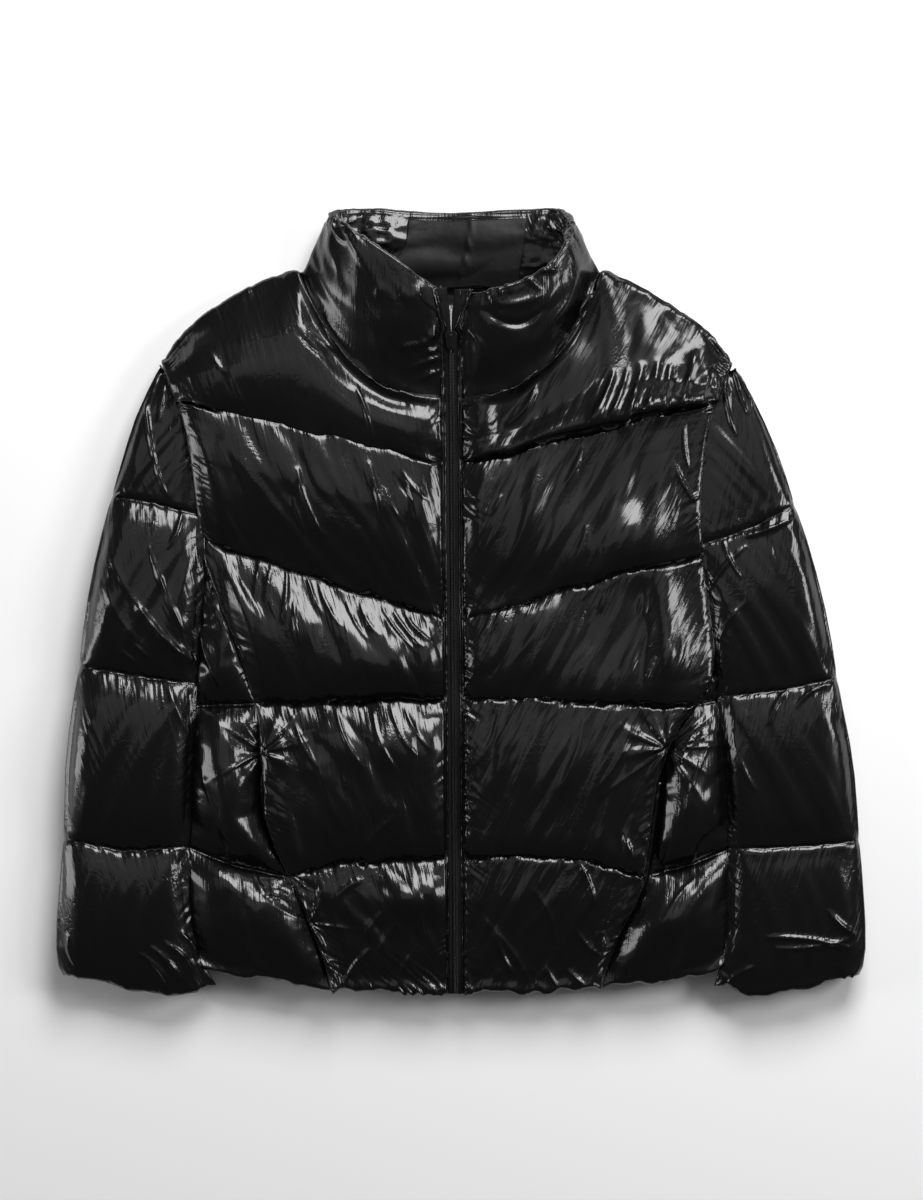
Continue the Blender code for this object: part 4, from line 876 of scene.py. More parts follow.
front_sheets = {}
for side in SIDES:
    xs, ys, bands, ts = front_plan(side)
    pinned = sewn_down(ts, xs.shape[1], beside=2)
    middle = centre_x(ys)
    from_zip = np.abs(xs - middle)
    from_seam = np.abs(xs - xs[:, -1:])
    look_xs = np.where(from_zip < ZIP_RISE[0][-1], middle + sign(side) * np.interp(from_zip, *ZIP_RISE), xs)
    near_seam = xs[:, -1:] - sign(side) * np.interp(from_seam, *SEAM_RISE)
    look_xs = np.where((from_seam < SEAM_RISE[0][-1]) & (ys < SEAM_TOP_Y), near_seam, look_xs)
    laid = fill_gaps(lay("front_" + side, xs, ys, look_xs))
    shoulder = bands == 4
    laid[shoulder, :, 2] = read_elsewhere(laid[shoulder, :, 2], 0, *NECK_RISE)
    for band, rise in enumerate(LINE_RISE[side], start=1):
        laid[(bands == band) & (ts == 0), :, 2] += rise * np.clip(from_zip[0] / LINE_RISE_OVER, 0, 1)
    laid = evened(laid, pinned)
    cut = cloth_cut(laid, FRONT_EASE, -sign(side) * FRONT_LEAN)
    away = from_stitches(ts, np.array(BAND_HEIGHTS)[bands])
    pull = np.where((bands == 4) | ((bands == 3) & (ts > 0.5)), TOP_LINE_PULL[side], 1.0)
    front_sheets[side] = (laid, cut, pinned, side == "right", away, bands, pull)

stitched_paths = []
front_forms = dict(zip(SIDES, stuff([front_sheets[side][:4] for side in SIDES])))
for side in SIDES:
    laid, cut, pinned, flipped, away, bands, pull = front_sheets[side]
    form = front_forms[side]
    share = np.linspace(0, 1, form.shape[1])
    if side == "right":
        calm = evened(form.copy(), pinned, CALM_PASSES)
        form[bands == 4] = calm[bands == 4]
        form[..., 2] = reformed(form[..., 2], bands, (2,), EVEN_SLOPE, np.ones(len(share)))
        form[..., 2] = reformed(form[..., 2], bands, (0, 1), STEEP_SLOPE, np.ones(len(share)))
        form[..., 2] = reformed(form[..., 2], bands, (3, 4), SOFT, np.ones(len(share)))
    else:
        far = np.clip((share - SUNK_FROM) / SUNK_OVER, 0, 1)
        form[..., 2] = reformed(form[..., 2], bands, (0, 1), EASED, np.ones(len(share)))
        form[..., 2] = reformed(form[..., 2], bands, (2, 3), SUNK, far)
        form[..., 2] = reformed(form[..., 2], bands, (4,), ROLLED, np.clip(ROLLED_AT_ZIP + 2 * share, 0, 1))
        beside = np.isin(bands, (2, 3))
        form[beside, :, 2] = read_elsewhere(form[beside, :, 2], 1, *TO_ARMHOLE)
    to_neck = np.arange(len(form))[::-1, None] * CELL
    raised = np.clip(share / NECKLINE_FROM, 0, 1) * np.clip((NECKLINE_TO - share) / NECKLINE_FADE, 0, 1)
    form[..., 2] += NECKLINE_RISE * np.exp(-((to_neck / NECKLINE_REACH) ** 2)) * raised
    seam_way = np.abs(form[..., 0] - form[:, -1:, 0])
    form[..., 2] += SEAM_LIFT * np.exp(-((seam_way / SEAM_REACH) ** 2)) * (form[:, -1:, 1] < SEAM_TOP_Y)
    form[..., 2] += HEM_LIFT * np.exp(-(((form[..., 1] - form[0, :, 1]) / SEAM_REACH) ** 2))
    top = refine(form)
    flat = refine(cut[..., :2])
    flat[..., 0] -= sign(side) * CREASE_LEAN[side] * flat[..., 1]
    rows_away, away = each_point(away, top.shape)
    gather = np.exp(-away / GATHER_REACH)
    up = normals(top) * sign(side)
    seed = FRONT_SEEDS[side]
    lively = lively_spots(top, FRONT_SPOTS[side])
    gather = np.maximum(gather, lively)
    from_zip = np.abs(top[..., 0] - top[:, :1, 0])
    from_seam = np.abs(top[..., 0] - top[:, -1:, 0])
    pull = np.interp(np.arange(len(top)) / 2, np.arange(len(pull)), pull)[:, None]
    lift = crumpled(flat, gather, lively, seed) + folded(top, FRONT_FOLDS[side])
    lift += pull * grooved(away, flat, seed)
    lift += edge_puckers(from_zip, top[..., 1], seed + 7, pitch=5.0, reach=8.0, depth=ZIP_TUCK_DEPTH[side])
    lift += edge_puckers(from_seam, top[..., 1], seed + 9, pitch=4.8, reach=8.0, depth=2.0)
    lift += puckered_stars(top, STARS[side]) + swollen(top, FRONT_SWELLS[side])
    above_hem = top[..., 1] - top[:1, :, 1]
    leaning = top[..., 0] - sign(side) * HEM_TUCK_LEAN * above_hem
    lift += edge_puckers(above_hem + 1.5, leaning, seed + 15, pitch=8.5, reach=17.0, depth=2.6)
    lift *= np.clip(from_ends(top.shape[1]) / 2, 0, 1)
    top += up * lift[..., None]
    top[..., 1] += ragged(away, flat, seed) * (top[..., 1] > top[:1, :, 1] + 12)
    top[..., 1] -= ruffled(top, 0, flat, 9.0, 5.0, seed + 12)
    top[..., 2] = np.maximum(top[..., 2], BASE + 0.2)
    lines = np.flatnonzero(rows_away[:-1] == 0)[1:]
    stitched_paths += [top[row, 8:-2] for row in lines]
    panel = padded_wall("quilted_front_" + side, top, flat, gather, BASE, shell_cloth, lines)
    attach(panel, "root")
    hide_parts("front_" + side)


# ---------------------------------------------------------------------------------------------------------
# Side panels: narrow padded panels under the arms, sewn to the fronts by the curved seam that holds the
# pockets. They are quilted in line with the fronts.

SIDE_QUILT = {
    "right": ((-250.1, -239.1, -222.1), (-94.1, -95.1, -96.1)),
    "left": ((-248.1, -238.1, -224.1), (-95.1, -93.1, -91.1)),
}
SIDE_BANDS = {"right": (100, 146, 133), "left": (98, 146, 24)}
SIDE_COLUMNS = 22
CORNER_Y = -331.0  # where the body's side ends above the hem's rounded corner


def side_plan(side):
    """X and Y of a side panel's grid, from the curved seam to the side, and each row's place in its band."""
    node = "side_panel_" + side
    way = sign(side)
    low, high = (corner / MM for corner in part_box(node))
    near = side_reader(node, way, EDGE_HEIGHT, -344, high.y - 1)
    far = side_reader(node, -way, EDGE_HEIGHT, CORNER_Y, high.y - 1)
    hem = end_reader(node, 1, EDGE_HEIGHT, low.x, high.x)
    share = np.linspace(0, 1, SIDE_COLUMNS + 1)
    start, end = float(near(-348.0)), float(far(CORNER_Y))
    lines = [hem(start + (end - start) * share)]
    lines += [np.interp(share, (0, 0.5, 1), line) for line in SIDE_QUILT[side]]
    lines.append(np.full_like(share, high.y))
    xs, ys, bands, ts = [], [], [], []
    for band in range(3):
        steps = round(SIDE_BANDS[side][band] / CELL)
        for t in np.arange(steps + (band == 2)) / steps:
            y = lines[band] + (lines[band + 1] - lines[band]) * t
            xs.append(near(y) + (far(y) - near(y)) * share)
            ys.append(y)
            bands.append(band)
            ts.append(t)
    return np.array(xs), np.array(ys), np.array(bands), np.array(ts)


SIDE_EASE = (1.12, 1.06)
SIDE_FOLDS = {
    "right": (
        (-198, 60, -184, -40, 4, 2.2, 2.4),
        (-222, 50, -206, 0, 3, 2.0, 2.4),
        (-236, -20, -216, -78, 3, 1.8, 2.6),
        (-186, -242, -172, -267, 3, 2.4, 2.2),
        (-172, -267, -152, -276, -3, 2.4, 2.2),
        (-169, -176, -154, -240, 2, 1.6, 2.0),
        (-232, -150, -205, -210, 4, 1.8, 2.8),
    ),
    "left": (
        (214, -110, 196, -150, 2, 2.0, 2.4),
        (222, -130, 200, -200, 4, 2.0, 2.8),
        (168, -265, 150, -285, 2, 2.4, 2.2),
        (210, -250, 180, -290, 3, 1.8, 2.6),
    ),
}
SIDE_SEEDS = {"right": 43, "left": 57}

side_sheets = {}
for side in SIDES:
    xs, ys, bands, ts = side_plan(side)
    pinned = sewn_down(ts, xs.shape[1])
    laid = evened(fill_gaps(lay("side_panel_" + side, xs, ys)), pinned, passes=6)
    cut = cloth_cut(laid, SIDE_EASE, -sign(side) * FRONT_LEAN)
    away = from_stitches(ts, np.array(SIDE_BANDS[side])[bands])
    side_sheets[side] = (laid, cut, pinned, side == "right", away)

side_forms = dict(zip(SIDES, stuff([side_sheets[side][:4] for side in SIDES], most=3.0)))
for side in SIDES:
    laid, cut, pinned, flipped, away = side_sheets[side]
    form = side_forms[side]
    for end in (0, -1):
        seam_way = np.abs(form[..., 0] - form[:, end, None, 0])
        form[..., 2] += SEAM_LIFT * np.exp(-((seam_way / SEAM_REACH) ** 2))
    form[..., 2] += HEM_LIFT * np.exp(-(((form[..., 1] - form[0, :, 1]) / SEAM_REACH) ** 2))
    top = refine(form)
    flat = refine(cut[..., :2])
    rows_away, away = each_point(away, top.shape)
    gather = np.exp(-away / GATHER_REACH)
    up = normals(top) * sign(side)
    seed = SIDE_SEEDS[side]
    lively = 0.35 * gather
    from_seam = np.abs(top[..., 0] - top[:, :1, 0])
    from_side = np.abs(top[..., 0] - top[:, -1:, 0])
    lift = crumpled(flat, gather, lively, seed) + folded(top, SIDE_FOLDS[side]) + grooved(away, flat, seed)
    lift += edge_puckers(from_seam, top[..., 1], seed + 7, depth=1.6)
    lift += edge_puckers(from_side, top[..., 1], seed + 9, depth=1.2)
    lift += puckered_stars(top, STARS[side])
    lift *= np.clip(from_ends(top.shape[1]) / 2, 0, 1)
    top += up * lift[..., None]
    top[..., 1] -= ruffled(top, 0, flat, 9.0, 5.0, seed + 12)
    top[..., 2] = np.maximum(top[..., 2], BASE + 0.2)
    stitched_paths += [top[row, 2:-2] for row in np.flatnonzero(rows_away[:-1] == 0) if row > 0]
    panel = padded_wall("quilted_side_" + side, top, flat, gather, BASE, shell_cloth)
    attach(panel, "root")
    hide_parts("side_panel_" + side)


# ---------------------------------------------------------------------------------------------------------
# Back: one padded panel that the fronts lie on. Its underside rests flat on the floor and its edge is rolled.
# It is sewn to the side panels and the sleeves along that edge, and to the collar at the neckline.

BACK_TOP, NECK_LEVEL = 24.0, 10.0
HEM_INSET = 6.0  # how far the hem's underside stays behind the fronts' hems
# From the floor up: height and inset of the rolled edge, and of the thinner edge along the neckline.
ROLL = (
    (0.0, 13.0, 0.0, 3.0),
    (1.0, 10.0, 0.7, 2.0),
    (2.5, 8.0, 1.5, 1.0),
    (5.5, 5.0, 2.8, 0.5),
    (9.0, 3.0, 4.0, 0.2),
    (13.0, 1.4, 6.0, 0.0),
    (17.0, 0.6, 8.0, 0.0),
    (24.0, 0.0, 11.0, 0.0),
    (24.0, 6.0, 24.0, 20.0),
)


def back_outline():
    """The back's outline, read from its solid just under its inside, turning left round it."""
    node = "back"
    height = BACK_TOP - 0.4
    low, high = (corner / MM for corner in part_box(node))
    hem = end_reader(node, 1, height, low.x, high.x)
    top = end_reader(node, -1, height, low.x, high.x)
    left = side_reader(node, -1, height, -329, 211)
    right = side_reader(node, 1, height, -329, 211)
    neck = end_reader(node, -1, NECK_LEVEL, low.x, high.x)
    step = 4.0
    across_x = np.arange(float(right(-331)) + 1, float(left(-331)) - 1, step)
    up = np.arange(-331, 210, step)
    top_x = np.arange(float(left(210)) - 1, float(right(210)) + 1, -step)
    parts = [
        np.stack([across_x, hem(across_x) + HEM_INSET], axis=1),
        np.stack([left(up), up], axis=1),
        np.stack([top_x, np.maximum(top(top_x), neck(top_x))], axis=1),
        np.stack([right(up[::-1]), up[::-1]], axis=1),
    ]
    on_neck = [np.zeros(len(part)) for part in parts]
    on_neck[2] = (neck(top_x) > top(top_x) + 2.0).astype(float)
    return np.concatenate(parts), np.concatenate(on_neck)


outline, on_neck = back_outline()
on_neck = np.maximum(on_neck, 0.5 * np.maximum(np.roll(on_neck, 1), np.roll(on_neck, -1)))
ahead = np.roll(outline, -1, axis=0) - np.roll(outline, 1, axis=0)
inward = np.stack([-ahead[:, 1], ahead[:, 0]], axis=1)
inward /= np.linalg.norm(inward, axis=1)[:, None]
rings = []
for height, inset, neck_height, neck_inset in ROLL:
    z = height + (neck_height - height) * on_neck
    move = inset + (neck_inset - inset) * on_neck
    rings.append(np.column_stack([outline + inward * move[:, None], z]))
faces = lofted(len(rings), len(outline))
points = np.concatenate(rings)
back = cloth_piece("quilted_back", points, faces, points[:, :2], np.zeros(len(points)), shell_cloth)
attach(back, "root")
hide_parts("back")


# ---------------------------------------------------------------------------------------------------------
# Sleeves: one-piece padded tubes, quilted in three lines and gathered to elastic at the cuff, where the
# lining turns in. Each lies flat beside the body, its lower half on the floor.

SLEEVE_QUILT = {
    "right": ((210.4, 208.4, 204.9), (91.6, 85.9, 75.4), (-61.1, -69.1, -76.1), (-215.1, -226.1, -222.6)),
    "left": ((207.9, 205.9, 202.9), (84.4, 63.9, 48.4), (-71.1, -82.1, -88.1), (-217.1, -222.1, -224.1)),
}
SLEEVE_MIDDLE, ABOVE_SLIT = 24.0, 27.0
SLEEVE_BANDS = (120, 152, 152, 128)
SLEEVE_COLUMNS = 54
UNDER_COLUMNS = 14
FINE = 120  # places in a row that heights are read at, before they are spaced evenly


def sleeve_plan(side):
    """Y of a sleeve's rows by share of its width, its two edges, and each row's place in its band."""
    node = "sleeve_" + side
    way = sign(side)
    low, high = (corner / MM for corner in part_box(node))
    outer = side_reader(node, -way, SLEEVE_MIDDLE, -334, high.y - 1)
    inner = side_reader(node, way, SLEEVE_MIDDLE, -336, high.y - 5)
    cuff = end_reader(node, 1, ABOVE_SLIT, low.x, high.x)
    share = np.linspace(0, 1, FINE + 1)
    start, end = float(outer(-338.0)), float(inner(-338.0))
    lines = [np.interp(share, (0, 0.5, 1), line) for line in SLEEVE_QUILT[side]]
    lines.append(cuff(start + (end - start) * np.clip(share, 0.02, 0.98)))
    rows = []
    for band in range(4):
        steps = round(SLEEVE_BANDS[band] / CELL)
        for t in np.arange(steps + (band == 3)) / steps:
            y = lines[band] + (lines[band + 1] - lines[band]) * t
            rows.append((y, band, t))
    return share, outer, inner, rows


def even_row(points, columns):
    """A row's points spaced evenly along it."""
    run = np.concatenate([[0], np.cumsum(np.linalg.norm(np.diff(points, axis=0), axis=1))])
    places = np.linspace(0, run[-1], columns + 1)
    return np.stack([np.interp(places, run, points[:, k]) for k in range(3)], axis=1)


def sleeve_rows(side):
    """The sleeve's upper and lower halves as grids from the outer to the inner edge."""
    node = "sleeve_" + side
    share, outer, inner, rows = sleeve_plan(side)
    upper, lower, bands, ts = [], [], [], []
    for y, band, t in rows:
        out_x, in_x = outer(y), inner(y)
        x = out_x + (in_x - out_x) * share
        look_x = out_x + (in_x - out_x) * np.clip(share, 0.006, 0.994)
        look_y = y + (NUDGE if (band, t) == (3, 1.0) else -NUDGE if (band, t) == (0, 0.0) else 0.0)
        tops = [touch(node, (a, b, FAR), (0, 0, -1)) for a, b in zip(look_x, look_y)]
        lows = [touch(node, (a, b, -FAR), (0, 0, 1)) for a, b in zip(look_x, look_y)]
        top_z = np.array([p.z if p is not None else np.nan for p in tops])
        low_z = np.array([p.z if p is not None else np.nan for p in lows])
        known = ~np.isnan(top_z)
        top_z = np.interp(share, share[known], top_z[known])
        low_z = np.interp(share, share[known], low_z[known])
        upper.append(even_row(np.stack([x, y, top_z], axis=1), SLEEVE_COLUMNS))
        lower.append(even_row(np.stack([x, y, low_z], axis=1), UNDER_COLUMNS))
        bands.append(band)
        ts.append(t)
    return np.array(upper), np.array(lower), np.array(bands), np.array(ts)


# The sleeve's upper face is flatter than the solid's: shares of its width, and where the heights are read.
SLEEVE_RISE = (0.0, 0.05, 0.18, 0.82, 0.95, 1.0), (0.0, 0.18, 0.38, 0.62, 0.82, 1.0)
SLEEVE_PUFF = {"right": 0.85, "left": 0.6}  # of the solid's swell between its stitched lines that is kept
SLEEVE_BOX = 0.6  # how far its bands' crowns are made boxy
TUCKED = 4.0  # how far the inner edge is pushed on under the body
SLEEVE_EASE = (1.05, 1.01)
SLEEVE_LEAN = 0.5
SLEEVE_SPOTS = {
    "right": (
        (-322, 40, 12, 30, 0.5),
        (-250, -40, 30, 30, 0.8),
        (-330, -120, 12, 40, 0.4),
        (-262, -330, 30, 20, 0.9),
        (-340, -318, 16, 16, 0.7),
        (-262, -108, 26, 26, 0.4),
    ),
    "left": (
        (246, 190, 24, 22, 0.7),
        (270, 70, 26, 14, 0.8),
        (330, -90, 20, 18, 0.6),
        (330, -300, 34, 22, 0.8),
        (240, -100, 14, 30, 0.4),
    ),
}
SLEEVE_FOLDS = {
    "right": (
        (-287, -10, -237, -58, 3, 5.0, 5.0),
        (-278, 45, -248, -28, 2, 3.0, 2.6),
        (-303, -47, -289, -58, 0, 2.4, 2.4),
        (-292, -40, -278, -53, 0, 2.4, 2.4),
        (-283, 174, -274, 123, 1, 2.8, 2.4),
        (-274, 123, -262, 91, 1, 2.4, 2.2),
        (-266, 190, -271, 160, 0, 2.4, 2.2),
        (-262, 46, -250, 78, 2, 2.4, 2.2),
        (-312, 36, -268, -30, 4, 1.8, 4.0),
        (-318, 10, -282, -44, 4, 1.8, 4.0),
        (-262, -78, -238, -130, 2, 2.4, 4.0),
        (-286, -318, -262, -346, -3, 3.0, 2.4),
        (-276, -312, -252, -342, -3, 3.0, 2.4),
        (-264, -308, -240, -334, -3, 3.0, 2.4),
        (-250, -300, -236, -322, -2, 2.6, 2.4),
        (-352, -302, -344, -330, 2, 2.8, 3.0),
    ),
    "left": (
        (244, 206, 256, 168, 2, 2.8, 2.4),
        (252, 208, 262, 176, 2, 2.6, 2.4),
        (236, 196, 246, 148, 2, 2.6, 2.4),
        (254, 56, 296, 72, 2, 3.2, 3.0),
        (276, 66, 283, 20, 2, 1.0, 3.0),
        (221, 4, 254, 46, -4, 1.6, 2.2),
        (232, -36, 254, -4, -3, 1.6, 2.2),
        (236, 50, 250, 20, 2, 2.4, 2.4),
        (330, -76, 300, -96, 3, 2.6, 2.6),
        (296, -78, 276, -110, 3, 2.4, 2.6),
        (276, -303, 346, -312, -3, 3.2, 2.6),
        (282, -313, 348, -304, 3, 2.4, 2.4),
        (330, -280, 352, -300, 2, 3.6, 3.4),
        (262, -330, 240, -344, 2, 2.4, 2.6),
        (244, -120, 262, -170, 3, 1.8, 3.0),
    ),
}
SLEEVE_SEEDS = {"right": 71, "left": 83}
# The cuff's turned edge: how far in, and its width and height as shares of the mouth's.
CUFF_TURN = ((0.5, 0.94, 0.9), (1.5, 0.86, 0.7), (3.0, 0.8, 0.42), (6.0, 0.76, 0.2), (60.0, 0.74, 0.1))

sleeve_sheets = {}
for side in SIDES:
    upper, lower, bands, ts = sleeve_rows(side)
    pinned = sewn_down(ts, upper.shape[1])
    upper[..., 2] = read_elsewhere(upper[..., 2], 1, *SLEEVE_RISE)
    lines = np.append(np.flatnonzero(ts == 0), len(ts) - 1)
    for column in range(upper.shape[1]):
        level = np.interp(np.arange(len(ts)), lines, upper[lines, column, 2])
        upper[:, column, 2] = level + SLEEVE_PUFF[side] * (upper[:, column, 2] - level)
    upper = evened(upper, pinned)
    last_columns = np.clip((np.arange(upper.shape[1]) - upper.shape[1] + 4) / 3, 0, 1)
    beside = (upper[:, -1, 1] < SEAM_TOP_Y)[:, None] * last_columns
    upper[..., 0] -= sign(side) * TUCKED * beside
    upper[..., 2] = reformed(upper[..., 2], bands, (0, 1, 2, 3), BOXY, np.full(upper.shape[1], SLEEVE_BOX))
    step = np.linalg.norm(np.diff(upper, axis=1), axis=-1)
    run = np.concatenate([np.zeros((len(upper), 1)), np.cumsum(step, axis=1)], axis=1)
    cut = upper.copy()
    cut[..., 0] = -sign(side) * (run * SLEEVE_EASE[0])
    cut[..., 1] = upper[..., 1] * SLEEVE_EASE[1]
    cut[..., 2] = upper[..., 2].mean()
    away = from_stitches(ts, np.array(SLEEVE_BANDS)[bands])
    sleeve_sheets[side] = (upper, cut, pinned, side == "left", away, lower)

sleeve_forms = dict(zip(SIDES, stuff([sleeve_sheets[side][:4] for side in SIDES], most=2.5, kept=0.25)))
for side in SIDES:
    laid, cut, pinned, flipped, away, lower = sleeve_sheets[side]
    upper = refine(sleeve_forms[side])
    flat = refine(cut[..., :2])
    flat[..., 0] -= sign(side) * SLEEVE_LEAN * flat[..., 1]
    rows_away, away = each_point(away, upper.shape)
    gather = np.exp(-away / GATHER_REACH)
    up = normals(upper) * sign(side)
    seed = SLEEVE_SEEDS[side]
    still = np.clip(from_ends(upper.shape[1]) / 4, 0, 1)
    lively = lively_spots(upper, SLEEVE_SPOTS[side])
    gather = np.maximum(0.6 * gather, lively)
    lift = crumpled(flat, gather, lively, seed) + grooved(away, flat, seed)
    lift += folded(upper, SLEEVE_FOLDS[side])
    from_inner = flat[..., 0] - flat[:, -1:, 0]
    lift += edge_puckers(np.abs(from_inner), upper[..., 1], seed + 9, pitch=4.8, reach=9.0, depth=2.0)
    upper += up * (lift * still)[..., None]
    upper[..., 1] += ragged(away, flat, seed) * still * (rows_away > 0.5)[:, None]
    upper[..., 1] -= ruffled(upper, -1, flat, 10.0, 4.0, seed + 12, pitch=17.0)
    stitched_paths += [upper[row, 2:-2] for row in np.flatnonzero(rows_away[:-1] == 0) if row > 0]
    under = refine(lower)
    ring = np.concatenate([upper, under[:, -1:0:-1]], axis=1)
    under_cut = flat[:, :1] + (under - under[:, :1])[..., :2] * (-1, 1)
    ring_cut = np.concatenate([flat, under_cut[:, -1:0:-1]], axis=1)
    mouth = ring[-1]
    middle = np.array([mouth[:, 0].mean(), 0, SLEEVE_MIDDLE])
    turned = []
    for inwards, wide, high in CUFF_TURN:
        loop = mouth.copy()
        loop[:, 0] = middle[0] + (mouth[:, 0] - middle[0]) * (1 - (1 - wide) * 0.6)
        loop[:, 1] = mouth[:, 1] + inwards
        loop[:, 2] = middle[2] + (mouth[:, 2] - middle[2]) * high
        turned.append(loop)
    loops = [*ring, *turned]
    count = ring.shape[1]
    faces = lofted(len(loops), count)
    points = np.concatenate(loops)
    cuts = np.concatenate([ring_cut.reshape(-1, 2), *[loop[:, :2] for loop in turned]])
    gathers = np.concatenate([gather[:, :1].repeat(count, axis=1).ravel(), np.ones(count * len(turned))])
    sleeve = cloth_piece("quilted_sleeve_" + side, points, faces, cuts, gathers, shell_cloth)
    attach(sleeve, "root")
    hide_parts("sleeve_" + side)


# ---------------------------------------------------------------------------------------------------------
# Collar: a padded funnel in one band from zip edge to zip edge, sewn to the neckline and folded over inside.

# From the zip edge round to the back's middle: X, Y and height of the collar's lower edge, the same of its
# upper edge, and the angle in which its thickness runs inwards, from straight down to straight up.
COLLAR = {
    "right": (
        (-17.1, 179.9, 33.0, -17.1, 274.4, 62.6, -90),
        (-21.1, 180.6, 34.5, -21.1, 275.9, 63.2, -90),
        (-49.1, 186.2, 44.0, -50.1, 297.9, 71.0, -90),
        (-85.1, 202.0, 44.0, -82.1, 320.9, 67.0, -84),
        (-114.1, 233.0, 40.0, -105.1, 336.9, 57.0, -60),
        (-135.1, 271.0, 33.5, -116.1, 345.4, 44.0, -28),
        (-145.7, 294.0, 24.0, -119.1, 349.4, 30.0, 0),
        (-142.1, 292.9, 12.0, -115.1, 352.9, 13.0, 36),
        (-123.1, 288.1, 2.4, -98.1, 355.5, 2.4, 76),
        (-81.1, 282.5, 0.4, -55.1, 352.9, 0.4, 90),
        (-9.1, 279.9, 0.4, -9.1, 351.4, 0.4, 90),
    ),
    "left": (
        (-0.2, 179.9, 33.0, -1.1, 270.9, 62.0, -90),
        (2.9, 180.6, 34.5, 2.9, 271.5, 62.6, -90),
        (31.9, 186.2, 44.0, 31.9, 276.9, 70.0, -90),
        (66.9, 202.0, 44.0, 67.9, 290.9, 68.0, -84),
        (96.9, 233.0, 40.0, 88.9, 309.9, 60.0, -60),
        (116.9, 274.0, 33.5, 98.9, 328.9, 46.0, -28),
        (127.7, 294.0, 24.0, 101.4, 342.9, 31.0, 0),
        (123.9, 292.9, 12.0, 96.9, 350.9, 13.0, 36),
        (104.9, 288.1, 2.4, 79.9, 353.9, 2.4, 76),
        (62.9, 282.5, 0.4, 36.9, 352.9, 0.4, 90),
        (-9.1, 279.9, 0.4, -9.1, 351.4, 0.4, 90),
    ),
}
COLLAR_BULGE, COLLAR_EDGE, COLLAR_PAD = 7.0, 8.0, 5.5
COLLAR_SECTIONS = 74  # in each half
COLLAR_LAP = 2.5  # of its sewn edge over the fronts
CREST_POINTS, CREST_RISE = 5, 4.4  # of the soft roll along the mouth
OUT_UPS = np.linspace(0, 1, 26)
IN_UPS = np.linspace(1, 0, 20)
MOUTH = 2 * len(OUT_UPS) + CREST_POINTS  # the refined column that runs along the mouth
COLLAR_EASE = (1.08, 1.03)
NECK_CENTRE, SHOULDER_Y = (-9.0, 300.0), 290.0
FLOOR_GAP = 0.2
# Where the collar is most crumpled: X, Y, reach across, reach up and amount.
COLLAR_SPOTS = (
    (-112, 345, 14, 14, 1.0),
    (78, 330, 30, 26, 1.0),
    (-60, 270, 30, 14, 0.5),
    (30, 275, 22, 16, 0.8),
    (-30, 225, 20, 24, 0.8),
    (70, 270, 30, 14, 0.5),
)
# The same for the tight crinkles at the mouth's corners and beside the zip.
CRINKLES = (
    (-116, 342, 12, 12, 1.0),
    (-92, 330, 16, 10, 0.5),
    (86, 336, 16, 18, 1.0),
    (72, 300, 18, 12, 0.8),
    (30, 282, 14, 8, 0.8),
    (-40, 276, 16, 8, 0.6),
    (-28, 232, 10, 14, 0.6),
    (-72, 334, 24, 16, 0.9),
)
COLLAR_FOLDS = (
    (98, 320, 88, 313, 0, 2.6, 2.2),
    (88, 313, 71, 303, 0, 2.6, 2.2),
    (71, 303, 83, 292, 0, 2.4, 2.2),
    (83, 292, 52, 292, 0, 2.2, 2.2),
    (52, 292, 38, 282, 0, 2.2, 2.2),
    (38, 282, 24, 277, 0, 2.2, 2.2),
    (54, 290.5, 71, 275, 1, 1.8, 1.8),
    (22.5, 256, 74, 258, 13, -3.0, 3.4),
    (34, 262, 70, 270, 3, 2.4, 6.0),
    (24, 280, 30, 262, 0, 2.0, 1.8),
    (31, 284, 37, 266, 0, 2.0, 1.8),
    (38, 286, 43, 272, 0, 1.8, 1.8),
    (-24, 240, -32, 227, -1, 2.4, 2.0),
    (-32, 227, -54, 223, 1, 2.4, 2.0),
    (-20, 224, -34, 218, 0, 2.2, 1.8),
    (-19, 216, -44, 205, 1, 2.2, 2.2),
    (-19, 204, -40, 194, 1, 1.8, 1.8),
    (-73, 280, -74, 267, 0, 2.0, 1.6),
    (-51, 276, -53, 268, 0, 1.8, 1.6),
    (107, 262, 122, 236, 4, -3.0, 4.0),
    (122, 236, 143, 205, 3, -3.0, 4.0),
    (4, 256, 1, 228, 0, 2.4, 1.8),
    (8, 238, 22, 214, -2, 1.8, 2.0),
    (-116, 340, -104, 318, 2, 2.2, 2.2),
    (-110, 350, -98, 334, 1, 2.0, 2.0),
)
# The gathers and creases inside the back of the neck, on the padding and on the facing.
INNER_FOLDS = (
    (9, 346, -5, 280, -4, 2.2, 2.2),
    (-86, 344, -84, 312, 1, 2.0, 1.6),
    (-80, 346, -77, 306, -1, 1.8, 1.6),
    (-74, 348, -72, 302, 1, 2.2, 1.6),
    (-68, 348, -66, 300, 0, 1.8, 1.6),
    (-62, 350, -60, 306, 1, 2.0, 1.6),
    (-56, 350, -54, 312, 0, 1.6, 1.6),
    (-49, 350, -52, 330, 0, -1.8, 1.2),
    (-52, 330, -68, 301, -3, -1.8, 1.2),
    (60, 352, 60, 313, 0, -1.8, 1.2),
    (60, 313, 53, 298, 0, -1.8, 1.2),
    (72, 346, 64, 318, 1, 2.0, 1.8),
    (80, 338, 70, 312, 1, 2.0, 1.8),
)


def pillow(t, fullness=0.55):
    """0 at both ends of 0..1 and 1 in the middle, steep at the ends as a stuffed channel is."""
    return (1 - np.clip(np.abs(2 * t - 1), 0, 1) ** 2) ** fullness


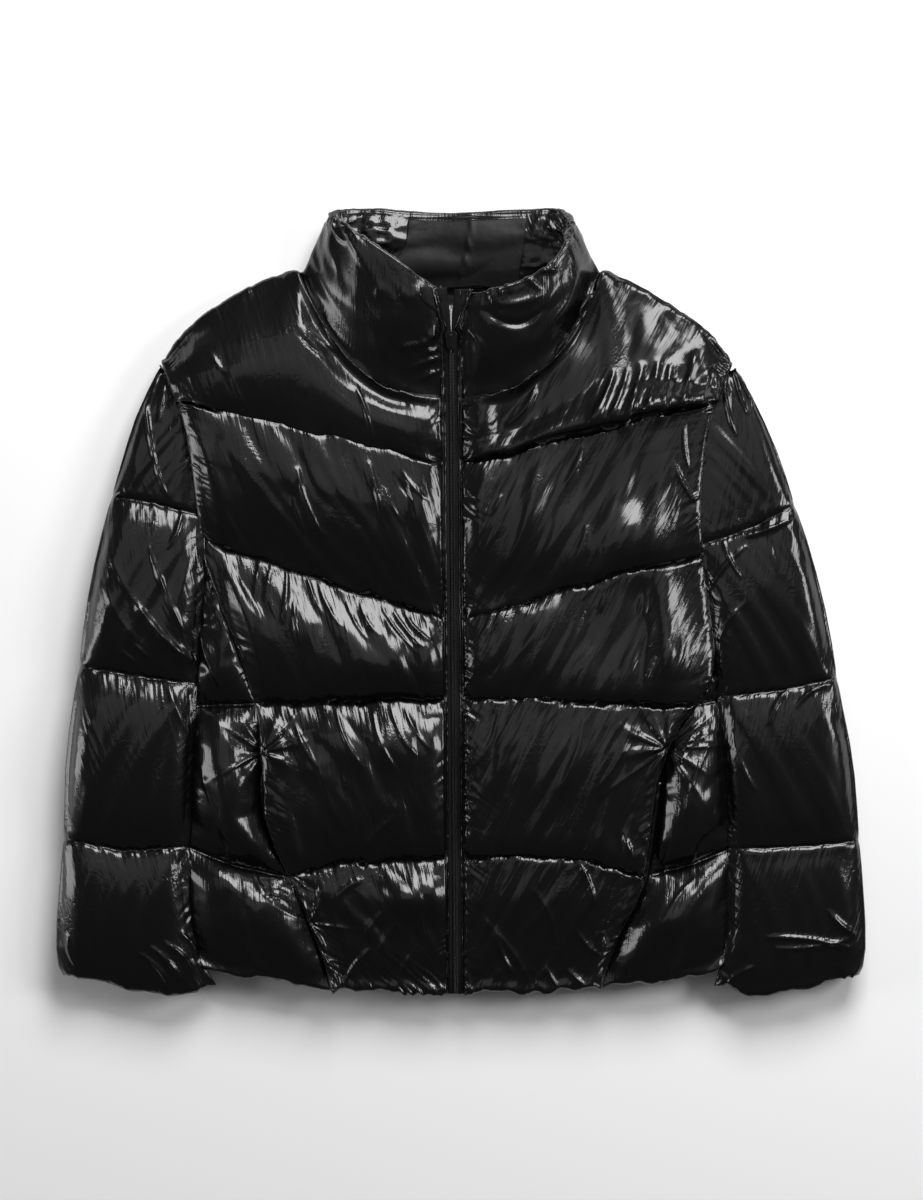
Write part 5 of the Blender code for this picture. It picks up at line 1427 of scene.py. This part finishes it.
def collar_section(side, at):
    """The outside, crest and inside of the collar's section at a place along one half, from the zip."""
    rows = np.array(COLLAR[side])
    values = [float(smooth(at, np.arange(len(rows)), column)) for column in rows.T]
    base, top = np.array(values[:3]), np.array(values[3:6])
    angle = math.radians(values[6])
    inward = np.array([-sign(side) * math.cos(angle), 0, math.sin(angle)])
    swell = float(np.clip(at / 1.2, 0.1, 1))
    bulge_share = max(-inward[2], 0.15) if inward[2] < 0.2 else 0.0
    outside = base + (top - base) * OUT_UPS[:, None]
    outside = outside - inward * (COLLAR_BULGE * pillow(OUT_UPS, 0.8) * swell * bulge_share)[:, None]
    inside = base + (top - base) * IN_UPS[:, None]
    inside = inside + inward * (COLLAR_EDGE + COLLAR_PAD * pillow(IN_UPS) * swell)[:, None]
    middle, half = (outside[-1] + inside[0]) / 2, (inside[0] - outside[-1]) / 2
    turn = np.linspace(0, math.pi, CREST_POINTS + 2)[1:-1, None]
    crest = middle - half * 1.1 * np.cos(turn) + np.array((0, CREST_RISE, 0)) * np.sin(turn)
    return np.concatenate([outside, crest, inside])


places = np.linspace(0, 10, COLLAR_SECTIONS)
sections = [collar_section("right", at) for at in places]
sections += [collar_section("left", at) for at in places[-2::-1]]
collar_laid = np.array(sections)
pinned = np.zeros(collar_laid.shape[:2], bool)
pinned[(0, -1), :] = True
pinned[:, (0, -1)] = True
along = np.concatenate([[0], np.cumsum(np.linalg.norm(np.diff(collar_laid[:, 12], axis=0), axis=1))])
steps_up = np.linalg.norm(np.diff(collar_laid, axis=1), axis=-1)
up = np.concatenate([np.zeros((len(sections), 1)), np.cumsum(steps_up, axis=1)], axis=1)
collar_cut = np.stack([np.repeat(along[:, None], up.shape[1], axis=1), up, np.zeros_like(up)], axis=-1)
collar_cut *= (*COLLAR_EASE, 1)
(collar_form,) = stuff([(collar_laid, collar_cut, pinned, False)], most=3.0)
collar_form[..., 2] = np.maximum(collar_form[..., 2], FLOOR_GAP)
skin = refine(collar_form)
flat = refine(collar_cut[..., :2])
from_neck = skin[:, :1, :2] - NECK_CENTRE
from_neck /= np.linalg.norm(from_neck, axis=-1, keepdims=True)
at_front = np.clip((SHOULDER_Y - skin[:, :1, 1:2]) / 20, 0, 1)
low_rows = np.exp(-((np.arange(skin.shape[1]) / 4.0) ** 2))[None, :, None]
skin[..., :2] += COLLAR_LAP * from_neck * at_front * low_rows
up = normals(skin)
outer = np.clip((MOUTH - np.arange(skin.shape[1])) / 5, 0, 1)[None]
ends = from_ends(len(skin))[:, None]
lively = lively_spots(skin, COLLAR_SPOTS)
lift = crumpled(flat, 0.05 + 0.5 * lively, 0.7 * lively - 0.08, 97) + 1.5 * folded(skin, COLLAR_FOLDS) * outer
lift += folded(skin, INNER_FOLDS) * (1 - outer) + crinkled(flat, lively_spots(skin, CRINKLES), 107)
lift += edge_puckers(flat[..., 1] - flat[:, :1, 1], flat[..., 0], 101, depth=1.0)
from_mouth = np.abs(flat[..., 1] - flat[:, MOUTH, 1][:, None])
at_mouth = np.clip((350 - skin[:, MOUTH, 1]) / 20, 0, 1)[:, None]
lift += at_mouth * edge_puckers(from_mouth + 2, flat[..., 0], 109, pitch=9.0, reach=12.0, depth=1.6)
lift += edge_puckers(flat[..., 0] - flat[:1, :, 0], flat[..., 1], 103, reach=9.0, depth=2.0)
lift += edge_puckers(flat[-1:, :, 0] - flat[..., 0], flat[..., 1], 105, reach=9.0, depth=2.0)
edge = from_ends(skin.shape[1])[None]
skin += up * (lift * np.clip(edge / 2, 0, 1) * np.clip(ends / 2, 0, 1))[..., None]
skin[..., 2] = np.maximum(skin[..., 2], FLOOR_GAP)
rows, columns = skin.shape[:2]
faces = quads(rows, columns).tolist()
grid = numbered(rows, columns)
faces += np.stack([grid[:-1, -1], grid[:-1, 0], grid[1:, 0], grid[1:, -1]], axis=-1).tolist()
faces += [[int(k) for k in grid[0]], [int(k) for k in grid[-1, ::-1]]]
gather = np.maximum(0.1, lively)
cuts = flat.reshape(-1, 2)
collar = cloth_piece("collar_shell", skin.reshape(-1, 3), faces, cuts, gather.ravel(), shell_cloth)
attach(collar, "root")
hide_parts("collar")


# ---------------------------------------------------------------------------------------------------------
# Collar facing: the smooth piece of plain lining cloth inside the back of the neck, sewn in flat.

def thin_shell(name, top, cut, thick, finish, gather=0.4):
    """A closed thin sheet under the grid of its upper face."""
    up = normals(top)
    up *= np.sign(up[..., 2].mean())
    rows, columns = top.shape[:2]
    count = rows * columns
    rim = rim_of(numbered(rows, columns))
    faces = quads(rows, columns).tolist() + quads(rows, columns, count)[:, ::-1].tolist()
    for here, after in zip(rim, rim[1:] + rim[:1]):
        faces.append([int(k) for k in (here, here + count, after + count, after)])
    points = np.concatenate([top.reshape(-1, 3), (top - up * thick).reshape(-1, 3)])
    cuts = np.concatenate([cut.reshape(-1, 2)] * 2)
    return cloth_piece(name, points, faces, cuts, np.full(2 * count, gather), finish)


LINING_WAVE = 14  # length of its slow waves


def lining_cloth():
    """Lining taffeta: black, close and smooth, with a low sheen."""
    made = new_material("lining_taffeta", "#0a0a0c", 0.5, IOR=1.3)
    tree = made.node_tree
    cut = add_node(tree, "ShaderNodeUVMap", uv_map="cut")
    slow = add_node(
        tree,
        "ShaderNodeTexNoise",
        {"Vector": cut.outputs["UV"], "Scale": 1 / (LINING_WAVE * MM), "Detail": 2.0},
    )
    bump = add_node(
        tree, "ShaderNodeBump", {"Height": slow.outputs["Fac"], "Strength": 0.5, "Distance": 1.0 * MM}
    )
    return bumped(made, bump, "Normal")


lining = lining_cloth()
FACING_LEVELS = 12.4, 13.4  # at which its lower and upper ends are read
FACING_THICK = 1.0
FACING_FROM = (0, 0.2, 0.4, 0.6, 1), (-84, -72, -58, -50, -47.5)  # X of its right side by share of its height
FACING_TO = 52, 60  # X of the lower and upper end of its left side
low_end = end_reader("collar_facing", 1, FACING_LEVELS[0], -86, 68)
high_end = end_reader("collar_facing", -1, FACING_LEVELS[1], -70, 50)
share, rise = np.meshgrid(np.linspace(0, 1, 100), np.linspace(0, 1, 44))
from_x = np.interp(rise, *FACING_FROM)
to_x = FACING_TO[0] + (FACING_TO[1] - FACING_TO[0]) * rise
xs = from_x + (to_x - from_x) * share
ys = low_end(xs) + (high_end(xs) - low_end(xs)) * rise
top = fill_gaps(lay("collar_facing", xs, ys))
flat = top[..., :2] - (0, 280)
collar_skin = BVHTree.FromPolygons(skin.reshape(-1, 3).tolist(), quads(*skin.shape[:2]).tolist())
top[..., 2] += 0.8 * folded(top, INNER_FOLDS) + 3.0 * (noise(xs / 34, ys / 44, 5) - 0.5)
top[..., 1] -= (1 - rise) ** 2 * (3.0 + 2.0 * noise(xs / 14, ys * 0, 15))
for place in np.ndindex(xs.shape):
    under = collar_skin.ray_cast(Vector((top[place][0], top[place][1], 40)), Vector((0, 0, -1)))[0]
    if under is not None:
        top[place][2] = max(top[place][2], under.z + FACING_THICK + 0.2)
facing = thin_shell("collar_facing_cloth", top, flat, FACING_THICK, lining)
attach(facing, "root")
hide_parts("collar_facing")


# ---------------------------------------------------------------------------------------------------------
# Pocket welts: a strip of shell cloth folded inside each pocket's slit, which shows as its dark floor.

WELT_RISE = 3.0  # of the folded edge, which swells out of the slit

for side in SIDES:
    node = "pocket_welt_" + side
    low, high = (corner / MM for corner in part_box(node))
    ys = np.linspace(low.y + 1, high.y - 1, 40)
    tries = np.arange(low.x - 1, high.x + 1, 0.25)
    xs = []
    for y in ys:
        found = [x for x in tries if touch(node, (x, y, FAR), (0, 0, -1)) is not None]
        xs.append(np.linspace(found[0], found[-1], 5))
    xs = np.array(xs)
    top = fill_gaps(lay(node, xs, np.repeat(ys[:, None], 5, axis=1)))
    top[..., 2] += WELT_RISE + 1.6 * (noise(top[..., 1] / 5.0, top[..., 0] / 4.0, 161) - 0.5)
    welt = thin_shell("pocket_welt_cloth_" + side, top, top[..., :2], 1.0, shell_cloth)
    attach(welt, "root")
    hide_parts(node)


# ---------------------------------------------------------------------------------------------------------
# Topstitching: a lockstitch of black polyester thread that lies in each quilted groove.

STITCH_PITCH, STITCH_LENGTH, STITCH_THICK, STITCH_HIGH = 3.2, 2.2, 0.4, -0.05
thread_finish = new_material("polyester_thread", "#0a0a0b", 0.75)


def repeat_along_path():
    """A node tree that sets small rounded bars along a path, each turned to follow it."""
    tree = bpy.data.node_groups.new("bars_along_path", "GeometryNodeTree")
    tree.interface.new_socket("Path", in_out="INPUT", socket_type="NodeSocketGeometry")
    for name, value in (("Pitch", 0.003), ("Length", 0.002), ("Width", 0.0005), ("Height", 0.0005)):
        socket = tree.interface.new_socket(name, in_out="INPUT", socket_type="NodeSocketFloat")
        socket.default_value = value
    tree.interface.new_socket("Finish", in_out="INPUT", socket_type="NodeSocketMaterial")
    tree.interface.new_socket("Bars", in_out="OUTPUT", socket_type="NodeSocketGeometry")
    start = add_node(tree, "NodeGroupInput")
    path = add_node(tree, "GeometryNodeMeshToCurve", {"Mesh": start.outputs["Path"]})
    upright = add_node(tree, "GeometryNodeSetCurveNormal", {"Curve": path.outputs["Curve"]}, mode="Z_UP")
    places = add_node(
        tree,
        "GeometryNodeCurveToPoints",
        {"Curve": upright.outputs["Curve"], "Length": start.outputs["Pitch"]},
        mode="LENGTH",
    )
    ball = add_node(tree, "GeometryNodeMeshUVSphere", {"Segments": 6, "Rings": 4, "Radius": 0.5})
    size = add_node(
        tree,
        "ShaderNodeCombineXYZ",
        {"X": start.outputs["Width"], "Y": start.outputs["Height"], "Z": start.outputs["Length"]},
    )
    bars = add_node(
        tree,
        "GeometryNodeInstanceOnPoints",
        {
            "Points": places.outputs["Points"],
            "Instance": ball.outputs["Mesh"],
            "Rotation": places.outputs["Rotation"],
            "Scale": size.outputs["Vector"],
        },
    )
    real = add_node(tree, "GeometryNodeRealizeInstances", {"Geometry": bars.outputs["Instances"]})
    finished = add_node(
        tree,
        "GeometryNodeSetMaterial",
        {"Geometry": real.outputs["Geometry"], "Material": start.outputs["Finish"]},
    )
    add_node(tree, "NodeGroupOutput", {"Bars": finished.outputs["Geometry"]})
    return tree


bars_tree = repeat_along_path()


def bars_along(name, paths, finish, pitch, length, width, height):
    """One mesh of bars along several paths, made by the node tree; sizes in millimetres."""
    points, edges = [], []
    for path in paths:
        edges += [(len(points) + i, len(points) + i + 1) for i in range(len(path) - 1)]
        points += (np.asarray(path) * MM).tolist()
    mesh = bpy.data.meshes.new(name + "_path")
    mesh.from_pydata(points, edges, [])
    guide = bpy.data.objects.new(name + "_path", mesh)
    bpy.context.scene.collection.objects.link(guide)
    modifier = guide.modifiers.new("bars", "NODES")
    modifier.node_group = bars_tree
    values = dict(Pitch=pitch * MM, Length=length * MM, Width=width * MM, Height=height * MM, Finish=finish)
    for item in bars_tree.interface.items_tree:
        if item.name in values:
            modifier[item.identifier] = values[item.name]
    shape = bpy.data.meshes.new_from_object(guide.evaluated_get(bpy.context.evaluated_depsgraph_get()))
    bpy.data.objects.remove(guide)
    shape.name = name
    shape.shade_smooth()
    made = bpy.data.objects.new(name, shape)
    bpy.context.scene.collection.objects.link(made)
    return made


raised = [path + (0, 0, STITCH_HIGH) for path in stitched_paths]
stitches = bars_along(
    "quilting_stitches", raised, thread_finish, STITCH_PITCH, STITCH_LENGTH, STITCH_THICK, STITCH_THICK
)
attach(stitches, "root")


# ---------------------------------------------------------------------------------------------------------
# Zip: two woven tapes with a closed nylon coil between them, and an enamelled slider at the top of the
# closed part. Above it the tapes part, and their ends are folded out over the collar's edges.

def woven_tape():
    """Polyester tape: a dull close weave."""
    made = new_material("woven_polyester_tape", "#0a0a0c", 0.7, IOR=1.3)
    tree = made.node_tree
    cut = add_node(tree, "ShaderNodeUVMap", uv_map="cut")
    weave = add_node(tree, "ShaderNodeTexWave", {"Vector": cut.outputs["UV"], "Scale": 1 / (3.0 * MM)})
    bump = add_node(
        tree, "ShaderNodeBump", {"Height": weave.outputs["Fac"], "Strength": 0.5, "Distance": 0.15 * MM}
    )
    return bumped(made, bump, "Normal")


tape_cloth = woven_tape()
try_y = np.arange(-354.0, 267.0, 3.0)
try_z = [touch("zip_tape_right", (float(centre_x(y)) - 5, y, FAR), (0, 0, -1)).z for y in try_y]


def tape_z(y):
    """Height of the tapes' upper face, which goes on rising above their CAD ends."""
    return np.interp(y, try_y, try_z) + 0.3 * np.clip(np.asarray(y) - try_y[-1], 0, None)


def beside_zip(side, inner, outer, high, crown, over_collar):
    """A strip beside the zip: its edges' ways from the centre line as tables of Y and way, and its crown."""
    ys = np.arange(-355.0, inner[-1][0] + 0.1, 1.5)
    shares = np.linspace(0, 1, len(crown))
    near = np.interp(ys, *zip(*inner))[:, None]
    far = np.interp(ys, *zip(*outer))[:, None]
    way = near + (far - near) * shares
    ys = np.repeat(ys[:, None], len(crown), axis=1)
    xs = centre_x(ys) + sign(side) * way
    zs = tape_z(ys) + high + np.array(crown)
    for i, j in zip(*np.nonzero(ys > SLIDER_TOP)):
        under = collar_skin.ray_cast(Vector((xs[i, j], ys[i, j], FAR)), Vector((0, 0, -1)))[0]
        if under is not None:
            zs[i, j] = max(zs[i, j] if way[i, j] < PANEL_EDGE else 0, under.z + over_collar + crown[j])
    loose = ys > SLIDER_TOP + 1
    for _ in range(6):
        mean = zs.copy()
        mean[1:-1] = (zs[:-2] + zs[1:-1] + zs[2:]) / 3
        zs = np.where(loose, mean, zs)
    return np.stack([xs, ys, zs], axis=-1), np.stack([way, ys], axis=-1)


CHAIN_TOP, SLIDER_TOP = 222.0, 238.5
TAPE_THICK = 0.8
TAPE_INNER = {
    "right": ((-356, 0.3), (SLIDER_TOP, 0.3), (252, 0.8), (277, 3.5)),
    "left": ((-356, 0.3), (SLIDER_TOP, 0.3), (254, 0.8), (276, 3.5)),
}
TAPE_OUTER = {
    "right": ((-356, 7.6), (SLIDER_TOP, 7.6), (255, 13.0), (264, 25.0), (277, 27.5)),
    "left": ((-356, 7.6), (SLIDER_TOP, 7.6), (254, 12.0), (276, 20.0)),
}
for side in SIDES:
    top, cut = beside_zip(side, TAPE_INNER[side], TAPE_OUTER[side], 0.0, (0.0,) * 5, 0.9)
    tape = thin_shell("woven_tape_" + side, top, cut, TAPE_THICK, tape_cloth)
    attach(tape, "root")
    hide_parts("zip_tape_" + side)

COIL_PITCH, COIL_ACROSS, COIL_WIRE, COIL_HIGH = 1.3, 3.7, 0.66, 1.5
COIL_WAY, CHAIN_LOW = 1.15, -354.5  # each row's way from the centre line, and the chain's lower end
teeth_finish = new_material("nylon_coil", "#131315", 0.38)
paths = []
for side, start in (("right", CHAIN_LOW), ("left", CHAIN_LOW + COIL_PITCH / 2)):
    ys = np.arange(start, CHAIN_TOP, 3.0)
    paths.append(np.stack([centre_x(ys) + sign(side) * COIL_WAY, ys, tape_z(ys) + COIL_HIGH / 2], axis=1))
coil = bars_along("zip_coil", paths, teeth_finish, COIL_PITCH, COIL_WIRE, COIL_ACROSS, COIL_HIGH)
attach(coil, "root")
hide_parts("zip_chain")


# ---------------------------------------------------------------------------------------------------------
# Bindings: narrow folded strips of shell cloth that cover the tapes' outer halves, held by a row of stitches
# that puckers them.

BINDING_INNER = {
    "right": ((-356, 5.3), (216, 5.3), (222, 6.3), (236, 6.3), (241, 3.0), (252, 7.2), (277, 12.4)),
    "left": ((-356, 5.3), (216, 5.3), (222, 6.3), (236, 6.3), (241, 3.0), (254, 7.8), (276, 15.6)),
}
BINDING_OUTER = {
    "right": ((-356, 9.4), (216, 9.4), (222, 10.0), (236, 10.0), (243, 8.5), (252, 11.5), (277, 17.0)),
    "left": ((-356, 9.4), (216, 9.4), (222, 10.0), (236, 10.0), (243, 8.5), (254, 12.0), (276, 20.0)),
}
BINDING_CROWN = (-0.7, 0.1, 0.35, 0.2, -0.1, -0.45, -0.1, 0.1, 0.0)
BINDING_STITCH_AT, BINDING_THICK = 5, 0.7
BINDING_SEEDS = {"right": 131, "left": 137}
binding_stitches = []
for side in SIDES:
    top, cut = beside_zip(side, BINDING_INNER[side], BINDING_OUTER[side], 1.5, BINDING_CROWN, 2.0)
    tuck = noise(top[..., 1] / 3.4, cut[..., 0] / 3.0, BINDING_SEEDS[side]) - 0.5
    top[..., 2] += 0.9 * tuck * np.sin(np.linspace(0.15, 1, top.shape[1]) * math.pi * 0.9)
    top[..., 0] += 0.5 * (noise(top[..., 1] / 6.0, cut[..., 0] * 0, 141) - 0.5)
    binding = thin_shell("placket_binding_" + side, top, cut, BINDING_THICK, shell_cloth, gather=0.2)
    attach(binding, "root")
    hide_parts("binding_" + side)
    binding_stitches.append(top[2:-2, BINDING_STITCH_AT] + (0, 0, 0.15))
PLACKET_STITCH = 2.6, 1.9, 0.5, 0.5  # pitch, length, width and height
placket_thread = new_material("glossy_thread", "#3a3a3c", 0.35)
seam = bars_along("placket_stitches", binding_stitches, placket_thread, *PLACKET_STITCH)
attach(seam, "root")


# ---------------------------------------------------------------------------------------------------------
# Slider: a cast body of two plates on a post, with an arched bridge on top, black enamelled. It is a little
# wider at its upper end, where the tapes part.

enamel = new_material(
    "black_enamelled_zinc", "#0d0d0e", 0.32, Metallic=0.0, Coat_Weight=0.6, Coat_Roughness=0.1
)
SLIDER_LOW, SLIDER_HIGH = 222.5, 238.0
# Share of the length and half width, from the lower end.
SLIDER_PLAN = ((0, 2.7), (0.04, 3.4), (0.14, 4.0), (0.4, 4.5), (0.62, 5.3), (0.8, 5.5), (0.92, 5.0), (1, 3.6))
# The lower plate, post, upper plate and the bridge's two feet and bar: half width as a share, start and end
# as shares of the length, lower and upper height above the tape.
SLIDER_PARTS = (
    (1.0, 0.0, 1.0, -1.9, -0.8),
    (0.2, 0.75, 1.0, -0.8, 2.0),
    (1.0, 0.0, 1.0, 2.0, 3.2),
    (0.26, 0.14, 0.28, 3.2, 4.7),
    (0.26, 0.66, 0.8, 3.2, 4.7),
    (0.26, 0.14, 0.8, 4.5, 5.3),
)
points, faces = [], []
for width, start, end, low, high in SLIDER_PARTS:
    at = np.linspace(start, end, 15)
    half = np.interp(at, *zip(*SLIDER_PLAN)) * width
    half = half if width == 1.0 else np.full_like(half, 5.0 * width)
    ys = SLIDER_LOW + (SLIDER_HIGH - SLIDER_LOW) * at
    ring_y = np.concatenate([ys, ys[::-1]])
    ring_way = np.concatenate([half, -half[::-1]])
    for z, inset in ((low, 0.3), (low + 0.25, 0.0), (high - 0.3, 0.0), (high, 0.35)):
        inner_way = ring_way - np.sign(ring_way) * inset
        inner_y = ring_y + inset * np.sign((SLIDER_LOW + SLIDER_HIGH) / 2 - ring_y)
        points += np.stack([centre_x(ring_y) + inner_way, inner_y, tape_z(ring_y) + z], axis=1).tolist()
    faces += lofted(4, len(ring_y), len(points) - 4 * len(ring_y))
mesh = bpy.data.meshes.new("enamelled_slider")
mesh.from_pydata((np.array(points) * MM).tolist(), [], faces)
mesh.materials.append(enamel)
body = bmesh.new()
body.from_mesh(mesh)
bmesh.ops.recalc_face_normals(body, faces=body.faces)
body.to_mesh(mesh)
body.free()
mesh.shade_smooth()
mesh.set_sharp_from_angle(angle=math.radians(35))
slider = bpy.data.objects.new("enamelled_slider", mesh)
bpy.context.scene.collection.objects.link(slider)
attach(slider, "root")
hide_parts("zip_slider")


# ---------------------------------------------------------------------------------------------------------
# A plain pale floor, soft boxes of light round the jacket and a camera straight above it.

floor_mesh = bpy.data.meshes.new("floor")
floor_mesh.from_pydata([(-20, -20, 0), (20, -20, 0), (20, 20, 0), (-20, 20, 0)], [], [(0, 1, 2, 3)])
floor_paint = new_material("matt_floor_paint", "#fbfbfb", 0.9)
floor_mesh.materials.append(floor_paint)
floor = bpy.data.objects.new("floor", floor_mesh)
bpy.context.scene.collection.objects.link(floor)

LIGHTS = (
    # name, place in metres, width and length in metres, watts
    ("top_box", (0.5, 1.7, 1.55), (1.2, 1.2), 60),
    ("right_box", (1.66, 0.4, 1.45), (0.7, 0.7), 17),
    ("left_strip", (-2.2, -0.1, 0.5), (0.5, 2.0), 19),
    ("overhead_panel", (-0.3, 0.7, 2.8), (1.8, 1.4), 3.4),
)
for name, place, size, watts in LIGHTS:
    light = bpy.data.lights.new(name, "AREA")
    light.shape = "RECTANGLE"
    light.size, light.size_y = size
    light.energy = watts
    box = bpy.data.objects.new(name, light)
    box.location = place
    box.rotation_euler = (-Vector(place)).to_track_quat("-Z", "Y").to_euler()
    bpy.context.scene.collection.objects.link(box)

world = bpy.data.worlds.new("studio")
world.use_nodes = True
world.node_tree.nodes["Background"].inputs["Color"].default_value = (0.08, 0.08, 0.08, 1)
bpy.context.scene.world = world
bpy.context.scene.view_settings.view_transform = "Standard"

CAMERA_HEIGHT, LENS, SENSOR = 3.024, 100, 36
CAMERA_X, CAMERA_Y = 0.00046, -0.0011
lens = bpy.data.cameras.new("camera")
lens.lens = LENS
lens.sensor_width = SENSOR
camera = bpy.data.objects.new("camera", lens)
camera.location = (CAMERA_X, CAMERA_Y, CAMERA_HEIGHT)
bpy.context.scene.collection.objects.link(camera)
bpy.context.scene.camera = camera
